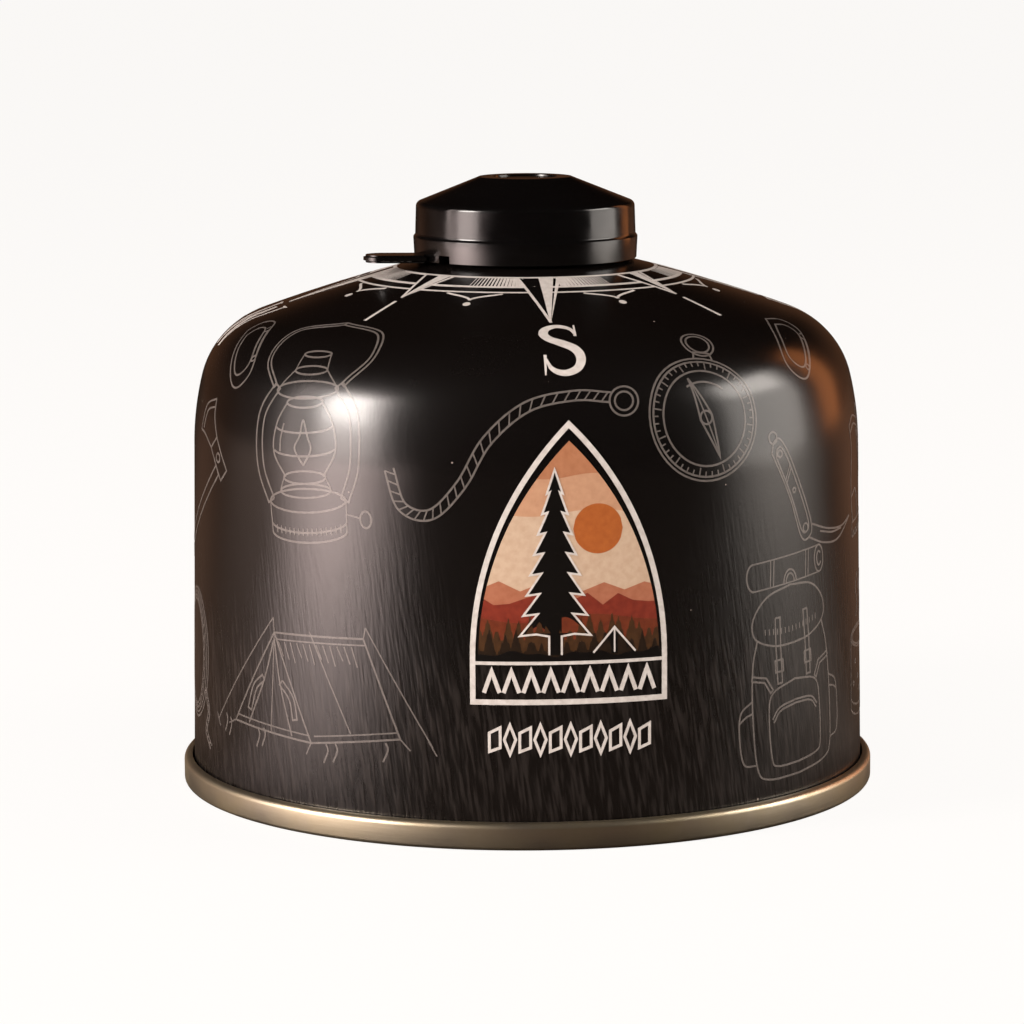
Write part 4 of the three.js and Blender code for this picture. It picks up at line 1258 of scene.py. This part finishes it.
polypropylene = moulded("black_polypropylene", "#070606", 0.12, 2.6, 0.006, 0.05)
cap = turned("push_on_cap", cap_outline(), CAP_SIDES, polypropylene)
carved(cap, tab_mesh(polypropylene), "UNION")
notch_mesh = bmesh.new()
bmesh.ops.create_cube(notch_mesh, size=1)
notch_matrix = (Matrix.Translation((0, 0,
    cap_foot * MM)) @ Matrix.Rotation(math.radians(NOTCH_ANGLE), 4, "Z")
                @ Matrix.Translation((CAP_BAND_FOOT_RADIUS * MM, 0, 0))
                @ Matrix.Diagonal((4 * CAP_WALL * MM, NOTCH_WIDTH * MM, 2 * NOTCH_HEIGHT * MM, 1)))
bmesh.ops.transform(notch_mesh, matrix=notch_matrix, verts=notch_mesh.verts)
notch_data = bpy.data.meshes.new("notch")
notch_mesh.to_mesh(notch_data)
notch_mesh.free()
notch_cutter = bpy.data.objects.new("notch", notch_data)
bpy.context.scene.collection.objects.link(notch_cutter)
carved(cap, notch_cutter, "DIFFERENCE")
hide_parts("cap")
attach(cap, "cap")

# The studio
# A pale floor, soft lights round a small bright card at the left, a dim panel and a warm strip at the right.
# Brown drapes with a painted glow stand round it out of the camera's sight, as the can's gloss shows a dark
# room.
FLOOR_REACH = 12.0
# Painted light: to a gloss the floor is a dim warm sheet that glows most near the can, with painted wedges of
# lamp sheen at fixed bearings.
FLOOR_PAINTED_GLOW = (0.05, 0.42, 0.11, 0.02, "#ffcba6")
FLOOR_PAINTED_GLEAMS = (
    (-64, 30, 0.055, 0.48, 10.5, "#ffe6e0"), (-96, 30, 0.05, 0.50, 0.7, "#ffd9c6"),
    (-134, 30, 0.05, 0.40, 0.16, "#ffb78f"),
    (92, 30, 0.05, 0.45, 1.5, "#fff2e6"), (86, 22, 0.44, 0.60, 2.2, "#fff4ea"),
    (138, 32, 0.05, 0.40, 0.25, "#ffb184"))
FLOOR_PAINTED_CONTACT_SHADE = (0.056, 0.08)
DRAPE_RADIUS = 1.6
DRAPE_HEIGHT = 1.6
DRAPE_SIDES = 48


def seen_rays(tree):
    """Whether a ray comes from the camera, and whether it comes from a gloss or through a glass."""
    path = add_node(tree, "ShaderNodeLightPath").outputs
    return path["Is Camera Ray"], add_node(tree, "ShaderNodeMath", {
        0: path["Is Glossy Ray"], 1: path["Is Transmission Ray"]}, operation="MAXIMUM")


def tinted(tree, colour, strength):
    return add_node(tree, "ShaderNodeVectorMath", {
        0: tuple(linear(colour)[:3]), "Scale": strength}, operation="SCALE")


def painted_gleam(tree, bearing, away, middle, half, near, far, strength, colour):
    """A painted sheen of a lamp on the paper: a wedge at a bearing from the can, which grows with the
    distance.
    """
    off = add_node(tree, "ShaderNodeMath", {0: bearing, 1: math.radians(middle)}, operation="SUBTRACT")
    off = add_node(tree, "ShaderNodeMath", {0: off}, operation="ABSOLUTE")
    side = add_node(tree, "ShaderNodeMapRange", {
        "Value": off, "From Min": 0.0, "From Max": math.radians(half), "To Min": strength, "To Max": 0.0},
        interpolation_type="SMOOTHSTEP").outputs["Result"]
    reach = add_node(tree, "ShaderNodeMapRange", {"Value": away, "From Min": near, "From Max": far})
    share = add_node(tree, "ShaderNodeMath", {0: side, 1: reach}, operation="MULTIPLY")
    return tinted(tree, colour, share)


def white_floor():
    """Seamless white paper: near white to the camera, and to a gloss a dim sheet with a painted warm glow and
    painted lamp sheen.
    """
    material, tree = new_material("white_paper")
    place = add_node(tree, "ShaderNodeTexCoord").outputs["Object"]
    fibres = add_node(tree, "ShaderNodeTexNoise", {"Vector": place, "Scale": 1 / (4 * MM), "Detail": 3.0})
    colour = add_node(tree, "ShaderNodeMix", {
        "Factor": fibres.outputs["Fac"], "A": linear("#f2f1ef"), "B": linear("#ecebe9")}, data_type="RGBA")
    paper = add_node(tree, "ShaderNodeBsdfDiffuse", {"Color": colour.outputs["Result"]})
    camera_ray, gloss_ray = seen_rays(tree)
    split = add_node(tree, "ShaderNodeSeparateXYZ", {"Vector": place}).outputs
    towards_front = add_node(tree, "ShaderNodeMath", {0: split["Y"], 1: -1.0}, operation="MULTIPLY")
    bearing = add_node(tree, "ShaderNodeMath", {0: split["X"], 1: towards_front}, operation="ARCTAN2")
    away = add_node(tree, "ShaderNodeVectorMath", {0: place}, operation="LENGTH").outputs["Value"]
    near, far, near_glow, far_glow, glow_colour = FLOOR_PAINTED_GLOW
    painted_base_glow = add_node(tree, "ShaderNodeMapRange", {
        "Value": away, "From Min": near, "From Max": far, "To Min": near_glow, "To Max": far_glow})
    sheen = tinted(tree, glow_colour, painted_base_glow)
    for spot in FLOOR_PAINTED_GLEAMS:
        sheen = add_node(tree, "ShaderNodeVectorMath", {0: sheen, 1: painted_gleam(tree, bearing, away, *spot)})
    # Painted shade: close round the can's foot the gloss sees the floor darkened, as a contact shadow.
    painted_contact_shade = add_node(tree, "ShaderNodeMapRange", {
        "Value": away, "From Min": FLOOR_PAINTED_CONTACT_SHADE[0], "From Max": FLOOR_PAINTED_CONTACT_SHADE[1], "To Min": 0.12})
    sheen = add_node(tree, "ShaderNodeVectorMath", {0: sheen, "Scale": painted_contact_shade}, operation="SCALE")
    seen_colour = add_node(tree, "ShaderNodeMix", {
        "Factor": camera_ray, "A": sheen, "B": linear("#fffdfb")}, data_type="RGBA")
    glow = add_node(tree, "ShaderNodeEmission", {"Color": seen_colour.outputs["Result"], "Strength": 1.0})
    seen = add_node(tree, "ShaderNodeMath", {0: camera_ray, 1: gloss_ray}, operation="MAXIMUM")
    glow_share = add_node(tree, "ShaderNodeMapRange", {"Value": gloss_ray, "To Min": 0.93, "To Max": 0.99})
    share = add_node(tree, "ShaderNodeMath", {0: glow_share, 1: seen}, operation="MULTIPLY")
    shader = add_node(tree, "ShaderNodeMixShader", {0: share, 1: paper, 2: glow})
    add_node(tree, "ShaderNodeOutputMaterial", {"Surface": shader})
    return material


def drape_painted_glow():
    """Brown wool drape with a painted glow, brightest low down behind the can and dark elsewhere."""
    material, tree = new_material("brown_wool_drape_painted_glow")
    place = add_node(tree, "ShaderNodeTexCoord").outputs["Object"]
    folds = add_node(tree, "ShaderNodeTexNoise", {"Vector": place, "Scale": 1 / (160 * MM)})
    colour = add_node(tree, "ShaderNodeMix", {
        "Factor": folds.outputs["Fac"], "A": linear("#6e4a36"), "B": linear("#51341f")}, data_type="RGBA")
    split = add_node(tree, "ShaderNodeSeparateXYZ", {"Vector": place}).outputs
    # Painted light: the drape glows more towards the back and low down, and hardly at all in front and high
    # up.
    behind = add_node(tree, "ShaderNodeMapRange", {
        "Value": split["Y"], "From Min": -0.2, "From Max": DRAPE_RADIUS, "To Min": 0.03, "To Max": 0.9})
    below = add_node(tree, "ShaderNodeMapRange", {
        "Value": split["Z"], "From Min": 0.2, "From Max": 0.6, "To Min": 1.0, "To Max": 0.04})
    strength = add_node(tree, "ShaderNodeMath", {0: behind, 1: below}, operation="MULTIPLY")
    dim = add_node(tree, "ShaderNodeEmission", {"Color": colour.outputs["Result"], "Strength": strength})
    add_node(tree, "ShaderNodeOutputMaterial", {"Surface": dim})
    return material


floor = mesh_object("studio_floor", [
    (-FLOOR_REACH, -FLOOR_REACH, 0), (FLOOR_REACH, -FLOOR_REACH, 0), (FLOOR_REACH, FLOOR_REACH, 0),
    (-FLOOR_REACH, FLOOR_REACH, 0)], [(0, 1, 2, 3)], white_floor())
drape_turns = [2 * math.pi * i / DRAPE_SIDES for i in range(DRAPE_SIDES)]
drape_rim = [(DRAPE_RADIUS * math.cos(a), DRAPE_RADIUS * math.sin(a)) for a in drape_turns]
drape = mesh_object("studio_drape", [(x, y, 0.002) for x, y in drape_rim] + [(x, y, DRAPE_HEIGHT) for x,
    y in drape_rim], [
    ((i + 1) % DRAPE_SIDES, i, DRAPE_SIDES + i, DRAPE_SIDES + (i + 1) % DRAPE_SIDES)
    for i in range(DRAPE_SIDES)] + [
    tuple(range(2 * DRAPE_SIDES - 1, DRAPE_SIDES - 1, -1))], drape_painted_glow())
drape.visible_camera = False
drape.visible_diffuse = False
drape.visible_shadow = False

world = bpy.data.worlds.new("studio_world")
world.use_nodes = True
world.node_tree.nodes.clear()
bpy.context.scene.world = world
world_seen = add_node(world.node_tree, "ShaderNodeMath", dict(enumerate(seen_rays(world.node_tree))),
                      operation="MAXIMUM")
ambient = add_node(world.node_tree, "ShaderNodeBackground", {"Color": linear("#fff6ee"), "Strength": 0.4})
white = add_node(world.node_tree, "ShaderNodeBackground", {"Color": (1, 1, 1, 1), "Strength": 1.0})
world_mix = add_node(world.node_tree, "ShaderNodeMixShader", {0: world_seen, 1: ambient, 2: white})
add_node(world.node_tree, "ShaderNodeOutputWorld", {"Surface": world_mix})


def soft_light(name, bearing, distance, height, wide, high, radiance, colour, in_gloss=True):
    """An area light that faces the can, set by how bright it looks, at degrees to the right of the camera."""
    lamp = bpy.data.lights.new(name, "AREA")
    lamp.shape = "RECTANGLE"
    lamp.size = wide
    lamp.size_y = high
    lamp.energy = radiance * math.pi * wide * high
    lamp.color = linear(colour)[:3]
    made = bpy.data.objects.new(name, lamp)
    bpy.context.scene.collection.objects.link(made)
    a = math.radians(bearing)
    made.location = (distance * math.sin(a), -distance * math.cos(a), height)
    pitch = math.atan2(distance, height - 0.06) if not in_gloss else math.pi / 2
    made.rotation_euler = (pitch, 0, a)
    made.visible_camera = False
    made.visible_glossy = in_gloss
    return made


soft_light("tall_softbox", -71, 1.0, 0.36, 0.54, 0.72, 2.0, "#ffebe4")
soft_light("edge_strip", -87, 0.98, 0.30, 0.08, 0.60, 4.0, "#ffebe4")
soft_light("softbox_core", -62, 0.97, 0.33, 0.42, 0.56, 7.2, "#fff0ea")
soft_light("window_card", -64, 0.94, 0.38, 0.30, 0.28, 22, "#fffaf4")
soft_light("grey_panel", 90, 1.0, 0.36, 0.66, 0.70, 3.6, "#f8f0e8")
soft_light("panel_head", 88, 0.98, 0.52, 0.50, 0.26, 5.4, "#f8f0e8")
soft_light("warm_strip", 128, 1.0, 0.35, 0.26, 0.66, 1.5, "#ff9a5a")
soft_light("front_fill", 12, 0.9, 1.05, 1.1, 1.1, 2.3, "#fff8f2", in_gloss=False)

# The camera
# A long lens a little above the cap, at the photograph's distance and tilt.
CAMERA_DISTANCE = 0.617436
CAMERA_HEIGHT = 0.137304
CAMERA_PITCH = 0.153
CAMERA_ROLL = -0.004
CAMERA_LENS = 137.72
CAMERA_SHIFT = -0.01413

camera_data = bpy.data.cameras.new("camera")
camera_data.lens = CAMERA_LENS
camera_data.sensor_width = 36
camera_data.shift_x = CAMERA_SHIFT
camera = bpy.data.objects.new("camera", camera_data)
bpy.context.scene.collection.objects.link(camera)
camera.location = (0, -CAMERA_DISTANCE, CAMERA_HEIGHT)
camera.rotation_euler = (Matrix.Rotation(math.pi / 2 - CAMERA_PITCH, 3, "X")
                         @ Matrix.Rotation(CAMERA_ROLL, 3, "Z")).to_euler()
bpy.context.scene.camera = camera
bpy.context.scene.view_settings.view_transform = "Standard"
